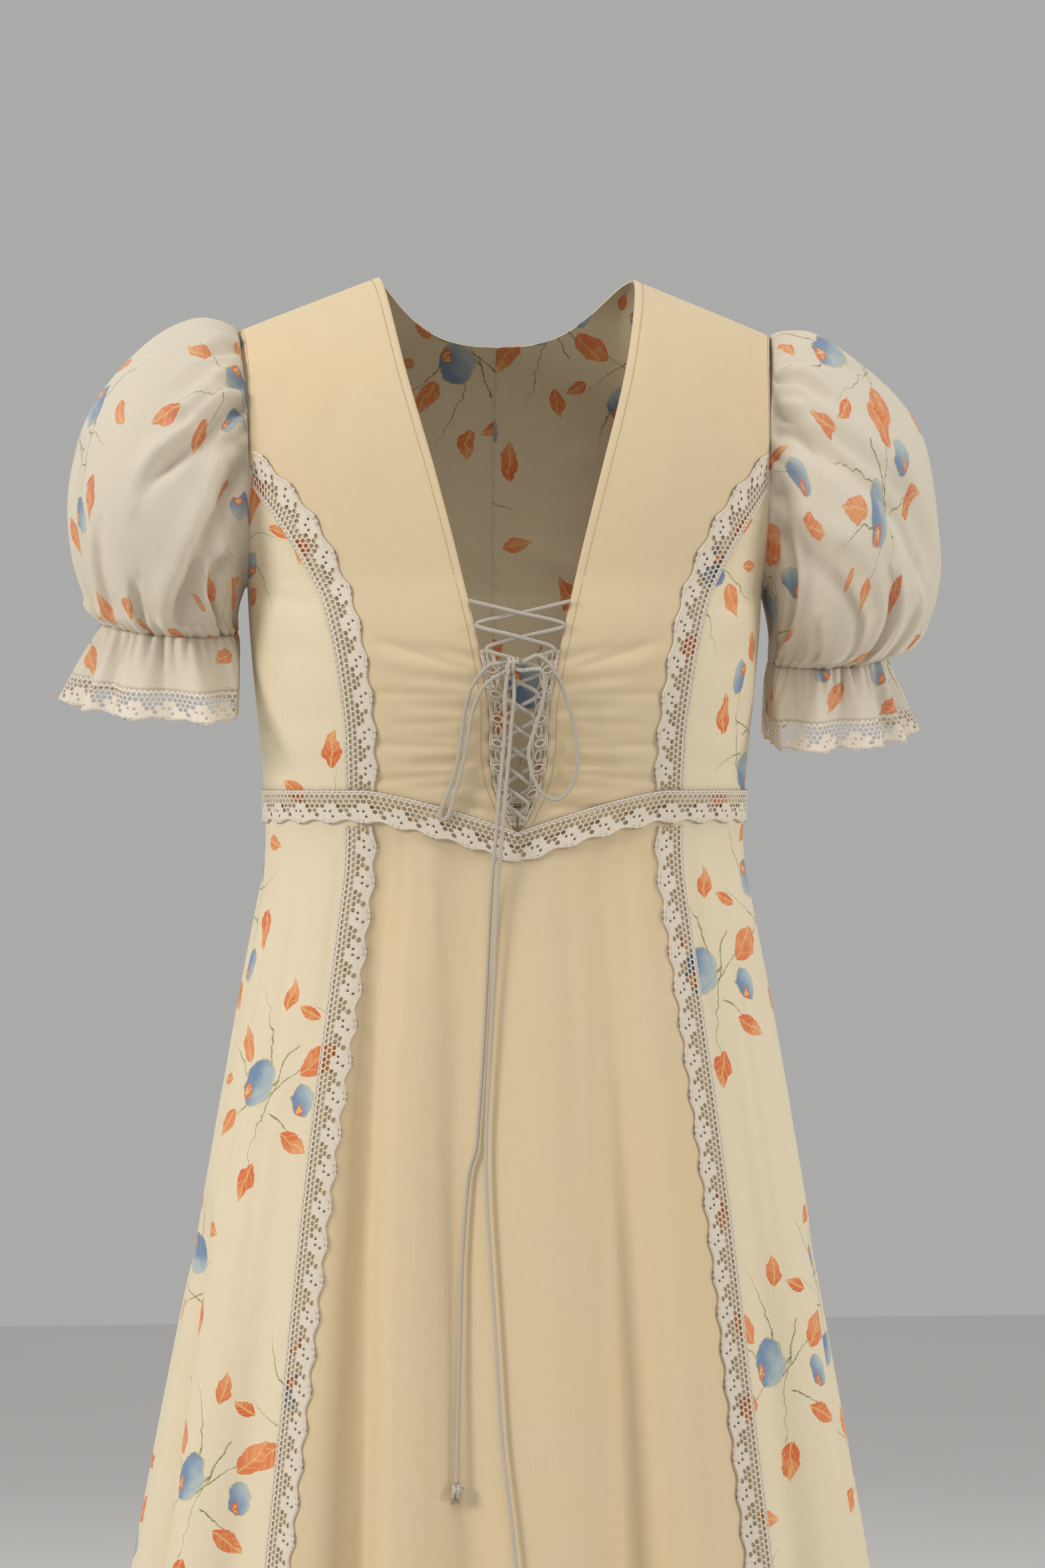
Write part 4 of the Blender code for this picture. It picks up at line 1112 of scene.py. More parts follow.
def capped(path, radii):
    """The path with one more point at each end, where the tube's radius falls to 0."""
    tips = [end + (end - beside) * 0.12 for end, beside in ((path[0], path[1]), (path[-1], path[-2]))]
    return np.vstack([tips[0], path, tips[1]]), np.concatenate([[0.0], radii, [0.0]])


def tube(name, path, radii, sides, looped=False):
    """A round thread or cord along the path, with closed ends, mapped round and along it."""
    deselect()
    if not looped:
        path, radii = capped(path, np.broadcast_to(radii, len(path)))
    rows = len(path) - 1
    bpy.ops.mesh.primitive_grid_add(x_subdivisions=sides, y_subdivisions=rows, size=1.0)
    piece = bpy.context.active_object
    piece.name = piece.data.name = name
    around, along = shares_of(piece)
    row = np.rint(along * rows).astype(int)
    first, second = frames_along(path)
    radii = np.broadcast_to(radii, len(path)).astype(float).copy()
    turn = 2 * np.pi * around
    spoke = first[row] * np.cos(turn)[:, None] + second[row] * np.sin(turn)[:, None]
    put_corners(piece, path[row] + spoke * radii[row][:, None])
    run = np.concatenate([[0], np.cumsum(np.linalg.norm(np.diff(path, axis=0), axis=1))])
    put_uv(piece, around * 2 * np.pi * radii.max(), run[row])
    weld(piece, 2e-6)
    only(piece)
    bpy.ops.object.mode_set(mode="EDIT")
    bpy.ops.mesh.select_all(action="SELECT")
    bpy.ops.mesh.normals_make_consistent(inside=False)
    bpy.ops.object.mode_set(mode="OBJECT")
    piece.data.shade_smooth()
    return piece


def join(pieces, name):
    deselect()
    for piece in pieces:
        piece.select_set(True)
    bpy.context.view_layer.objects.active = pieces[0]
    bpy.ops.object.join()
    joined_piece = bpy.context.active_object
    joined_piece.name = joined_piece.data.name = name
    return joined_piece


# ---- shader maths


class Value:
    """A node's output that takes part in sums. Plain numbers may stand on either side."""

    def __init__(self, paint, socket):
        self.paint, self.socket = paint, socket

    def math(self, operation, *others, clamp=False):
        values = {i: other for i, other in enumerate((self, *others))}
        return self.paint.node("ShaderNodeMath", {"operation": operation, "use_clamp": clamp}, values)[0]

    def flipped(self, operation, other):
        return self.paint.node("ShaderNodeMath", {"operation": operation}, {0: other, 1: self})[0]

    def __add__(self, other):
        return self.math("ADD", other)

    __radd__ = __add__

    def __sub__(self, other):
        return self.math("SUBTRACT", other)

    def __rsub__(self, other):
        return self.flipped("SUBTRACT", other)

    def __mul__(self, other):
        return self.math("MULTIPLY", other)

    __rmul__ = __mul__

    def __truediv__(self, other):
        return self.math("DIVIDE", other)

    def __abs__(self):
        return self.math("ABSOLUTE")

    def floor(self):
        return self.math("FLOOR")

    def fraction(self):
        return self.math("FRACT")

    def sine(self):
        return self.math("SINE")

    def largest(self, other):
        return self.math("MAXIMUM", other)

    def smallest(self, other):
        return self.math("MINIMUM", other)

    def clamped(self):
        return self.math("ADD", 0.0, clamp=True)

    def step(self, low, high):
        """0 below low, 1 above high, and soft between."""
        settings = {"interpolation_type": "SMOOTHSTEP"}
        values = {"Value": self, "From Min": low, "From Max": high}
        return self.paint.node("ShaderNodeMapRange", settings, values)[0]


class Paint:
    """Makes one material out of nodes."""

    def __init__(self, name):
        self.material = bpy.data.materials.new(name)
        self.material.use_nodes = True
        self.tree = self.material.node_tree
        self.shader = self.tree.nodes["Principled BSDF"]

    def node(self, kind, settings=None, values=None):
        """Adds a node and gives its outputs. Settings come first, then sockets by name or number."""
        made = self.tree.nodes.new(kind)
        for name, value in (settings or {}).items():
            setattr(made, name, value)
        self.feed(made, values or {})
        return [Value(self, socket) for socket in made.outputs if socket.enabled]

    def feed(self, made, values):
        for key, value in values.items():
            socket = made.inputs[key]
            if isinstance(value, Value):
                self.tree.links.new(value.socket, socket)
            else:
                socket.default_value = value

    def finish(self, constants, **values):
        for name, value in constants.items():
            self.shader.inputs[name].default_value = value
        self.feed(self.shader, {name.replace("_", " "): value for name, value in values.items()})
        return self.material

    def map(self):
        """The piece's own map, in millimetres: the vector, and its two parts."""
        vector = self.node("ShaderNodeUVMap")[0]
        parts = self.node("ShaderNodeSeparateXYZ", {}, {0: vector})
        return vector, parts[0], parts[1]

    def moved(self, vector, place, angle, size):
        """The vector's parts measured from a place, turned by an angle and divided by a size."""
        settings = {"vector_type": "TEXTURE"}
        values = {
            "Vector": vector,
            "Location": (*place, 0.0),
            "Rotation": (0.0, 0.0, math.radians(angle)),
            "Scale": (*size, 1.0),
        }
        local = self.node("ShaderNodeMapping", settings, values)[0]
        parts = self.node("ShaderNodeSeparateXYZ", {}, {0: local})
        return parts[0], parts[1]

    def vector(self, x, y):
        return self.node("ShaderNodeCombineXYZ", {}, {0: x, 1: y})[0]

    def noise(self, vector, scale, detail=2.0, stretch=(1.0, 1.0, 1.0)):
        """Soft noise from 0 to 1, its scale in spots a millimetre."""
        spread = tuple(scale * s for s in stretch)
        placed = self.node("ShaderNodeMapping", {}, {"Vector": vector, "Scale": spread})[0]
        return self.node("ShaderNodeTexNoise", {}, {"Vector": placed, "Scale": 1.0, "Detail": detail})[0]

    def mix(self, factor, first, second):
        values = {"Factor": factor, 6: first, 7: second}
        settings = {"data_type": "RGBA"}
        return self.node("ShaderNodeMix", settings, values)[0]

    def bump(self, height, distance, strength=1.0, under=None):
        values = {"Height": height, "Distance": distance, "Strength": strength}
        if under is not None:
            values["Normal"] = under
        return self.node("ShaderNodeBump", {}, values)[0]


def rgba(value):
    return (*value, 1.0)


def shade(value, factor):
    return rgba([part * factor for part in value])


def weave(paint, vector, x, y, pitch):
    """Height of a plain weave with uneven threads, and the streaks of its thicker ones."""
    warp = (x * (2 * math.pi / pitch)).sine()
    weft = (y * (2 * math.pi / pitch)).sine()
    across = paint.noise(vector, 1.0, 3.0, (1.6, 0.045, 1.0))
    down = paint.noise(vector, 1.0, 3.0, (0.045, 1.6, 1.0))
    streaks = across + down - 1.0
    return warp * weft * 0.5 + streaks * 1.4, streaks


CLOTH_SHEEN = {"Sheen Weight": 0.12, "Sheen Roughness": 0.5, "Specular IOR Level": 0.25}


def cotton(name, base, pitch=0.55, extra=None):
    """Plain cotton lawn, with faint streaks along and across and a slow drift in its colour."""
    paint = Paint(name)
    vector, x, y = paint.map()
    height, streaks = weave(paint, vector, x, y, pitch)
    drift = paint.noise(vector, 0.012, 2.0)
    toned = paint.mix((streaks * 0.9 + 0.5).clamped(), shade(base, 0.90), shade(base, 1.07))
    toned = paint.mix(drift.step(0.35, 0.7), toned, shade((base[0], base[1] * 0.985, base[2] * 0.94), 1.0))
    normal = paint.bump(height, 0.00006, 0.5)
    rough = streaks * 0.1 + 0.84
    return paint.finish({**CLOTH_SHEEN, **(extra or {})}, Base_Color=toned, Roughness=rough, Normal=normal)


def spray_places(paint, vector, x, y):
    """Millimetres from the middle of the nearest spray, for each of two half-dropped lattices."""
    wide, tall = SPRAY_TILE
    placed = []
    for share in (0.0, 0.5):
        column = x / wide + share
        row = y / tall + share + column.floor() * 0.31
        placed.append(paint.vector((column.fraction() - 0.5) * wide, (row.fraction() - 0.5) * tall))
    return placed


def print_colours(paint, vector, x, y, ground, colours, strength):
    """The sprays of leaves, fruit and twigs over the ground colour."""
    wander = paint.noise(vector, 0.09, 2.0)
    fine = paint.noise(vector, 0.5, 3.0)
    ragged = (fine - 0.5) * 0.3
    shake = paint.vector((wander - 0.5) * 9, (fine - 0.5) * 2)
    shaken = paint.node("ShaderNodeVectorMath", {"operation": "ADD"}, {0: vector, 1: shake})[0]
    parts = paint.node("ShaderNodeSeparateXYZ", {}, {0: shaken})
    sprays = spray_places(paint, shaken, parts[0], parts[1])
    colour = ground
    for spray, px, py, angle, half, rise in TWIGS:
        a, s = paint.moved(sprays[spray], (px, py), angle, (half, 1.0))
        bent = abs(s - (1 - a * a) * rise)
        line = (0.55 - bent + (a * -0.25) + ragged).step(0.0, 0.45) * (1 - abs(a)).step(0.0, 0.03)
        tone = paint.mix(fine.step(0.40, 0.56), rgba(colours.twig), rgba(colours.stem))
        colour = paint.mix(line * (0.9 * strength), colour, tone)
    for spray, px, py, angle, half, wide in FRUITS:
        a, s = paint.moved(sprays[spray], (px, py), angle, (half, wide))
        inside = 1 - a * a - s * s + ragged * 0.3
        wash = (s * 0.45 + wander * 1.1).step(0.25, 0.95)
        body = paint.mix(wash, rgba(colours.fruit), rgba(colours.fruit_pale))
        rim = inside.step(-0.02, 0.04) * (1 - inside.step(0.07, 0.13))
        body = paint.mix(rim * 0.85, body, shade(colours.vein, 0.9))
        eye_a, eye_s = (a - 0.50) * 2.9, (s + 0.38) * 3.0
        eye = 1 - eye_a * eye_a - eye_s * eye_s + ragged * 2
        petals = paint.mix((eye * 3 + fine * 9).sine().step(0.2, 0.8), rgba(colours.leaf), rgba(colours.vein))
        body = paint.mix(eye.step(0.0, 0.15), body, petals)
        colour = paint.mix(inside.step(-0.02, 0.05) * (0.9 * strength), colour, body)
    for spray, px, py, angle, half, wide, red in LEAVES:
        a, s = paint.moved(sprays[spray], (px, py), angle, (half, wide))
        side = abs(s)
        outline = (1 - a * a) * (1.0 - a * 0.4).largest(0.3) - side + ragged * 0.4
        base = [between(p, q, red) for p, q in zip(colours.leaf_pale, colours.leaf)]
        wash = (wander + a * 0.16).step(0.38, 0.72)
        body = paint.mix(wash, rgba(base), rgba(colours.leaf_pale))
        ribs = abs(((a - side * 0.6) * 2.3).fraction() - 0.5)
        rib = (1 - ribs.step(0.02, 0.075)).largest(1 - (side * wide).step(0.25, 0.75))
        body = paint.mix(rib * 0.75, body, rgba(colours.vein))
        edge = (1 - outline.step(0.02, 0.10)) * 0.55
        body = paint.mix(edge, body, shade(colours.leaf, 0.72))
        colour = paint.mix(outline.step(0.0, 0.07) * (0.95 * strength), colour, body)
    return colour


def printed(name, base, colours, strength, pitch, extra=None):
    """Cotton or voile with the leaf and fruit print. A weaker strength serves the wrong side."""
    paint = Paint(name)
    vector, x, y = paint.map()
    height, streaks = weave(paint, vector, x, y, pitch)
    toned = paint.mix((streaks * 0.9 + 0.5).clamped(), shade(base, 0.92), shade(base, 1.06))
    coloured = print_colours(paint, vector, x, y, toned, colours, strength)
    normal = paint.bump(height, 0.00006, 0.5)
    rough = streaks * 0.1 + 0.84
    return paint.finish({**CLOTH_SHEEN, **(extra or {})}, Base_Color=coloured, Roughness=rough, Normal=normal)


def thread(name, base, twist=1.1):
    """Cotton thread of the laces and the stitching, with its crossings and the gaps between them, the gaps
    painted darker as shade.
    """
    paint = Paint(name)
    vector, x, y = paint.map()
    ply = ((x + y) * (2 * math.pi / twist)).sine()
    cross = ((x - y) * (2 * math.pi / twist)).sine()
    fuzz = paint.noise(vector, 1.4, 3.0)
    gaps = (ply * cross).step(0.45, 0.95) * fuzz.step(0.35, 0.6)
    toned = paint.mix(fuzz.step(0.3, 0.7), shade(base, 0.92), shade(base, 1.05))
    # painted shade: the gaps between the plies are darkened
    toned = paint.mix(gaps * 0.45, toned, shade(base, 0.6))
    normal = paint.bump(fuzz - gaps * 1.2 + ply * cross * 0.3, 0.0003, 0.9)
    return paint.finish(CLOTH_SHEEN, Base_Color=toned, Roughness=fuzz * 0.1 + 0.82, Normal=normal)


def braid(name, base):
    """Silvery braided cord: chevrons of shining strands, painted lighter on their ridges as a highlight and
    darker in the channels between them as shade.
    """
    paint = Paint(name)
    vector, x, y = paint.map()
    round_once = math.pi * CORD
    folded = abs((x * (4 / round_once)).fraction() - 0.5)
    strand = (y * 0.85 + folded * 2.0).fraction()
    ridge = (strand * math.pi).sine()
    channel = (folded * (2 * math.pi)).sine().step(0.0, 0.35)
    height = ridge * channel
    # painted highlight on the strands' ridges and painted shade in the channels between them
    toned = paint.mix(height, shade(base, 0.55), shade(base, 1.15))
    normal = paint.bump(height, 0.00035, 1.0)
    shine = {"Sheen Weight": 0.2, "Specular IOR Level": 0.6}
    return paint.finish(shine, Base_Color=toned, Roughness=height * -0.15 + 0.5, Normal=normal)


PLAIN_LOOKS = ("straw_cotton", "straw_cotton")
PRINT_LOOKS = ("printed_cotton", "print_wrong_side")
LOOKS = {}


def look(name):
    """The dress's materials, each made once."""
    if name not in LOOKS:
        colours = bpy.context.scene.dress_colours
        made = {
            "straw_cotton": lambda: cotton(name, colours.plain),
            "printed_cotton": lambda: printed(name, colours.ground, colours, 1.0, 0.55),
            "print_wrong_side": lambda: printed(name, colours.ground, colours, 0.35, 0.55),
            "printed_voile": lambda: printed(name, colours.voile, colours, 0.9, 0.7, {"Alpha": 0.9}),
            "ecru_lace": lambda: thread(name, colours.lace),
            "braided_cord": lambda: braid(name, colours.cord),
            "sewing_thread": lambda: thread(name, [c * 0.93 for c in colours.plain], 0.4),
        }
        LOOKS[name] = made[name]()
    return LOOKS[name]


# ---- cords


def front_face(x, drop):
    """Outermost y of the front at a place: yoke or skirt, with its folds."""
    low = max(drop, ARMHOLE_DROP)
    half, front = (float(read_off(SECTIONS, column, low)) for column in (HALF, FRONT))
    if drop < WAIST_DROP + WAIST_POINT:
        return -front * (1 - (abs(x) / half) ** (2 / ROUND)) ** (ROUND / 2) - SEAM
    direction = math.copysign(float(direction_at(abs(x), half)), x)
    inward = skirt_folds(direction, drop) + skirt_creases(direction, drop)
    return float(ring_point(direction, half, front, front)[1] + inward)


def off_cloth(places):
    return [(x, front_face(x, drop) - lift, -drop) for x, drop, lift in places]


def lacing_route(start_side):
    route = []
    for rung, (drop, x) in enumerate(LACING):
        side = start_side if rung % 2 else -start_side
        route.append((side * x, drop, CORD_OVER))
        if rung < len(LACING) - 1:
            over = (rung % 2 == 0) == (start_side > 0)
            low_drop, low_x = LACING[rung + 1]
            lift = CORD_CROSS if over else CORD_OVER
            route.append((side * (x - low_x) / 2, (drop + low_drop) / 2, lift))
    return route


def run_of(path):
    return float(np.linalg.norm(np.diff(path, axis=0), axis=1).sum())


def ring_path(middle, half_sizes, tilt, turns=1.0):
    """An oval wrap round the line across the knot, leaning by the tilt."""
    t = np.linspace(0, 2 * np.pi * turns, round(40 * turns))
    lean = math.tan(math.radians(tilt))
    z = half_sizes[2] * np.cos(t)
    climb = (t / (2 * np.pi) - turns / 2) * half_sizes[0]
    return np.array(middle) + np.column_stack([lean * z + climb, -half_sizes[1] * np.sin(t), z])


def tie_knot(name, middle, half_sizes, strands):
    """A knot: strands that lead into it, under wraps that lie beside each other."""
    sides = bpy.context.scene.dress_sizes.cord_sides
    round_ = CORD / 2
    inner = [half - round_ for half in half_sizes]
    pieces = []
    for places in strands:
        path = smooth_route(places, 0.7) + np.array(middle)
        pieces.append(tube(f"{name}_strand", path, round_ * 0.97, sides))
    wraps = ring_path(middle, (2.5, inner[1] + 0.4, inner[2] + 0.4), 14, 2.1)
    pieces.append(tube(f"{name}_wrap", wraps, round_, sides))
    over = smooth_route([
        (-inner[0] * 0.7, inner[1] * 0.2, -inner[2]), (-inner[0] * 0.9, -inner[1] * 0.7, -1.0),
        (-0.6, -inner[1] * 1.2, 1.4), (inner[0] * 0.85, -inner[1] * 0.7, inner[2] * 0.6),
        (inner[0] * 0.7, inner[1] * 0.3, inner[2]),
    ], 0.7)
    pieces.append(tube(f"{name}_over", over + np.array(middle), round_, sides))
    return join(pieces, name)


def lay_cord(name, route, spacing):
    sides = bpy.context.scene.dress_sizes.cord_sides
    path = smooth_route(off_cloth(route), spacing)
    piece = tube(f"{name}_braid", path, CORD / 2, sides)
    dress_piece(piece, [name], "braided_cord", [look("braided_cord")])
    run_of(path) * MM
    return piece


class DRESS_OT_cords(bpy.types.Operator):
    """Lacing in the opening, the bow with its knot, and the two tails with their end knots"""

    bl_idname = "dress.cords"
    bl_label = "Lacing and bow"

    def execute(self, context):
        braided = look("braided_cord")
        knot = tie_knot("bow_wrap", off_cloth([KNOT])[0], KNOT_HALF, BOW_STRANDS)
        dress_piece(knot, ["bow_knot"], "braided_cord", [braided])
        for side, route in (("left", TAIL_LEFT), ("right", TAIL_RIGHT)):
            x, drop, lift = route[-1]
            middle = off_cloth([(x, drop + CORD_END / 2 + 0.5, lift)])[0]
            coil = tie_knot(f"end_{side}", middle, (3.6, 3.4, CORD_END / 2), END_STRANDS)
            fray = [
                tube(f"fray_{side}_{i}", fray_path(middle, i), np.linspace(0.45, 0.12, 6), 4)
                for i in range(7)
            ]
            dress_piece(
                join([coil, *fray], f"tail_knot_{side}"), [f"tail_end_{side}"], "braided_cord", [braided]
            )
        for side, turn in (("right", 1), ("left", -1)):
            lay_cord(f"lacing_{side}", lacing_route(turn), 1.5)
        lay_cord("bow_left", BOW_LEFT, 1.5)
        lay_cord("bow_right", BOW_RIGHT, 1.5)
        lay_cord("tail_left", TAIL_LEFT, 2.0)
        lay_cord("tail_right", TAIL_RIGHT, 2.0)
        return {"FINISHED"}


def fray_path(middle, strand):
    """One loose strand under an end knot."""
    lean = (strand - 3) * 0.28
    t = np.linspace(0, 1, 6)
    start = np.array(middle) + (lean * 0.8, 0.3 * math.cos(strand), -CORD_END / 2 + 1.2)
    return start + np.column_stack([lean * 2.2 * t - 0.8 * t, 0.4 * np.sin(strand + 2 * t), -4.6 * t])


# ---- cloth panels


def fit_columns(surface, share, step):
    """How many faces of that step fit across the surface at a share of its height."""
    across = np.linspace(0, 1, 200)
    return max(4, round(run_of(surface(across, np.full_like(across, share))) * MM / step))


def fit_rows(surface, step):
    up = np.linspace(0, 1, 300)
    return max(4, round(run_of(surface(np.full_like(up, 0.5), up)) * MM / step))


class DRESS_OT_bodice(bpy.types.Operator):
    """Front yokes, side fronts and backs"""

    bl_idname = "dress.bodice"
    bl_label = "Bodice"

    def execute(self, context):
        sizes = context.scene.dress_sizes
        panels = (
            # name, surface, columns, rows, slot, looks, sewn edges
            ("front_yoke", yoke, 46, 4 * YOKE_ROWS, "straw_cotton", PLAIN_LOOKS, (0, 1, 1, 1)),
            ("side_front", side_front, 24, 60, "printed_cotton", PRINT_LOOKS, (1, 1, 1, 1)),
            ("back", back, 48, 6 * BACK_ROWS, "printed_cotton", PRINT_LOOKS, (1, 1, 1, 0)),
        )
        for side, turn, mirror in (("right", 1, lambda s: s), ("left", -1, mirrored)):
            for name, surface, columns, rows, slot, looks, seams in panels:
                shape = creased(mirror(surface), bodice_creases, turn)
                shift = (turn * 37.0 + 11.0, 52.0 + 31.0 * turn)
                piece, flat, area = lay_cloth(
                    f"{name}_cloth_{side}", columns, rows, shape, sizes.cloth_wall, turn, shift,
                    seams=seams,
                )
                dress_piece(piece, [f"{name}_{side}"], slot, [look(n) for n in looks])
        return {"FINISHED"}


class DRESS_OT_skirt(bpy.types.Operator):
    """The five panels of the skirt"""

    bl_idname = "dress.skirt"
    bl_label = "Skirt"

    def execute(self, context):
        sizes = context.scene.dress_sizes
        seam = [tuple(-value for value in SKIRT_SEAM), SKIRT_SEAM]
        side = [tuple(-value for value in SIDE_SEAM), SIDE_SEAM]
        panels = (
            # node, its two seams, slot, looks, shift of the print
            ("skirt_front", seam[0], seam[1], "straw_cotton", PLAIN_LOOKS, (0, 0)),
            ("skirt_side_front_left", side[0], seam[0], "printed_cotton", PRINT_LOOKS, (18, 64)),
            ("skirt_side_front_right", seam[1], side[1], "printed_cotton", PRINT_LOOKS, (-30, 132)),
            ("skirt_back_right", side[1], (180, 180), "printed_cotton", PRINT_LOOKS, (12, 20)),
            ("skirt_back_left", (-180, -180), side[0], "printed_cotton", PRINT_LOOKS, (-8, 90)),
        )
        for node, start, end, slot, looks, shift in panels:
            surface = skirt_panel(start, end)
            columns = fit_columns(surface, 1.0, sizes.cloth_step)
            rows = fit_rows(surface, 1.5 * sizes.cloth_step)
            piece, flat, area = lay_cloth(
                f"{node}_cloth", columns, rows, surface, sizes.cloth_wall, -1, shift, seams=(1, 1, 1, 0)
            )
            dress_piece(piece, [node], slot, [look(n) for n in looks])
        return {"FINISHED"}


class DRESS_OT_sleeves(bpy.types.Operator):
    """Puff sleeves and their ruffles"""

    bl_idname = "dress.sleeves"
    bl_label = "Puff sleeves"

    def execute(self, context):
        sizes = context.scene.dress_sizes
        for side, turn, mirror in (("right", 1, lambda s: s), ("left", -1, mirrored)):
            parts = (
                ("sleeve", mirror(puff(side)), 220, 84, turn, (turn * 40.0, 66.0)),
                ("sleeve_ruffle", mirror(cuff(side, 0, 1)), 280, 18, -turn, (20.0, 0.0)),
            )
            for name, surface, columns, rows, outward, shift in parts:
                piece, flat, area = lay_cloth(
                    f"{name}_cloth_{side}", columns, rows, surface, sizes.sheer_wall, outward, shift, True
                )
                dress_piece(piece, [f"{name}_{side}"], "printed_voile", [look("printed_voile")] * 2)
        return {"FINISHED"}


# ---- laces


def lace_tile():
    """One repeat of lace, flat, its hexagons a unit wide and the straight edge at the top."""
    hexagon = 1 / math.sqrt(3)
    cells = []
    for row, line in enumerate(LACE_CHART):
        for column in range(len(line)):
            place = (column + 0.5 + 0.5 * (row % 2), -row * 1.5 * hexagon, 0)
            bpy.ops.mesh.primitive_circle_add(vertices=6, radius=hexagon, fill_type="NGON", location=place)
            cells.append(bpy.context.active_object)
    tile = join(cells, "lace_tile")
    own_mesh(tile)
    weld(tile, 1e-3)
    for kind, rim in HOLE_RIMS.items():
        shell = bmesh.new()
        shell.from_mesh(tile.data)
        chosen = [face for face in shell.faces if len(face.verts) == 6 and cell_kind(face) == kind]
        bmesh.ops.inset_individual(shell, faces=chosen, thickness=rim)
        bmesh.ops.delete(shell, geom=chosen, context="FACES")
        shell.to_mesh(tile.data)
        shell.free()
    return tile


def cell_kind(face):
    middle = face.calc_center_median()
    row = round(-middle.y / (1.5 / math.sqrt(3)))
    column = int(middle.x - 0.5 * (row % 2))
    return LACE_CHART[row][column]


def strip_places(surface, along, across, outward, lift, closed):
    """Places on a strip at even lengths along it, lifted off its surface."""
    fine = np.linspace(0, 1, 400)
    middle = surface(np.full_like(fine, 0.5), fine)
    run = np.concatenate([[0], np.cumsum(np.linalg.norm(np.diff(middle, axis=0), axis=1))])
    share = np.interp(along % 1.0 if closed else np.clip(along, 0, 1), run / run[-1], fine)
    return surface(across, share) + normals(surface, across, share, outward) * lift, run[-1]


def lay_lace(name, tile, surface, outward, lift, closed=False):
    """Lace along the strip surface(across, along), with a raised thread along each edge."""
    sizes = bpy.context.scene.dress_sizes
    _, length = strip_places(surface, np.zeros(1), np.zeros(1), outward, 0, closed)
    count = round(length / LACE_REPEAT)
    strip = bpy.data.objects.new(name, tile.data.copy())
    bpy.context.scene.collection.objects.link(strip)
    array = strip.modifiers.new("Repeats", "ARRAY")
    array.count = count
    array.use_relative_offset = False
    array.use_constant_offset = True
    array.constant_offset_displace = (len(LACE_CHART[0]), 0, 0)
    array.use_merge_vertices = True
    array.merge_threshold = 1e-3
    apply_all(strip)
    corners = np.empty(3 * len(strip.data.vertices))
    strip.data.vertices.foreach_get("co", corners)
    corners = corners.reshape(-1, 3)
    hexagon = 1 / math.sqrt(3)
    along = corners[:, 0] / len(LACE_CHART[0]) / count
    tall = (len(LACE_CHART) - 1) * 1.5 * hexagon + hexagon
    across = np.clip((hexagon / 2 - corners[:, 1]) / tall, 0, 1)
    across = np.where(across < 0.04, 0, np.where(across > 0.96, 1, across))
    across = across + scallop(along * count) * across**3
    places, _ = strip_places(surface, along, 1 - across, outward, lift, closed)
    put_corners(strip, places)
    wide = np.linalg.norm(surface(np.ones(1), np.full(1, 0.5)) - surface(np.zeros(1), np.full(1, 0.5)))
    put_uv(strip, along * length, across * wide)
    if closed:
        weld(strip, 1e-5)
    strip.modifiers.new("Wall", "SOLIDIFY").thickness = sizes.lace_wall
    strip.modifiers["Wall"].offset = 0
    apply_all(strip)
    strip.data.shade_smooth()
    threads = []
    for share, radius in ((0.035, 0.55), (0.95, 0.6)):
        steps = np.linspace(0, 1, max(3, round(length / 1.5)) + 1)
        edge = share + scallop(steps * count) * share**3
        path, _ = strip_places(surface, np.minimum(steps, 0.9999), 1 - edge, outward, lift + 0.25, closed)
        knobs = radius * (1 + 0.22 * np.cos(np.pi * np.arange(len(steps))))
        threads.append(tube(f"{name}_thread", path, knobs, 6))
    return join([strip, *threads], name), length * MM, wide * MM


def scallop(repeats):
    """How far the edge stands out: fullest under each fan."""
    return LACE_SCALLOP * np.cos(2 * np.pi * (repeats - 0.58))


def turned(surface):
    """The same strip with its straight and scalloped edges changed over."""
    def other(across, along):
        return surface(1 - across, along)

    return other


def along_first(surface):
    """Swaps the arguments of a surface that runs round the dress in its first one."""
    def other(across, along):
        return surface(along, across)

    return other


class DRESS_OT_laces(bpy.types.Operator):
    """Lace trims, and the crochet edges of the opening"""

    bl_idname = "dress.laces"
    bl_label = "Laces"

    def execute(self, context):
        tile = lace_tile()
        ecru = look("ecru_lace")
        for side, turn, mirror in (("right", 1, lambda s: s), ("left", -1, mirrored)):
            strips = (
                (f"bodice_lace_{side}", mirror(bodice_lace), turn, 0.9, False),
                (f"skirt_lace_{side}", skirt_lace(turn), -turn, 0.9, False),
                (f"cuff_lace_{side}", turned(along_first(mirror(cuff(side, 0.98, 2)))), -turn, 0.0, True),
            )
            for node, surface, outward, lift, closed in strips:
                self.lay(tile, node, surface, outward, lift, closed)
        self.lay(tile, "waist_lace", along_first(waist_lace), -1, 1.6, False)
        bpy.data.objects.remove(tile)
        for side, turn, mirror in (("right", 1, lambda s: s), ("left", -1, mirrored)):
            piece = crochet(f"placket_crochet_{side}", mirror(placket), turn)
            dress_piece(piece, [f"placket_lace_{side}"], "ecru_lace", [ecru])
        return {"FINISHED"}

    def lay(self, tile, node, surface, outward, lift, closed):
        piece, length, wide = lay_lace(f"{node}_net", tile, surface, outward, lift, closed)
        dress_piece(piece, [node], "ecru_lace", [look("ecru_lace")])


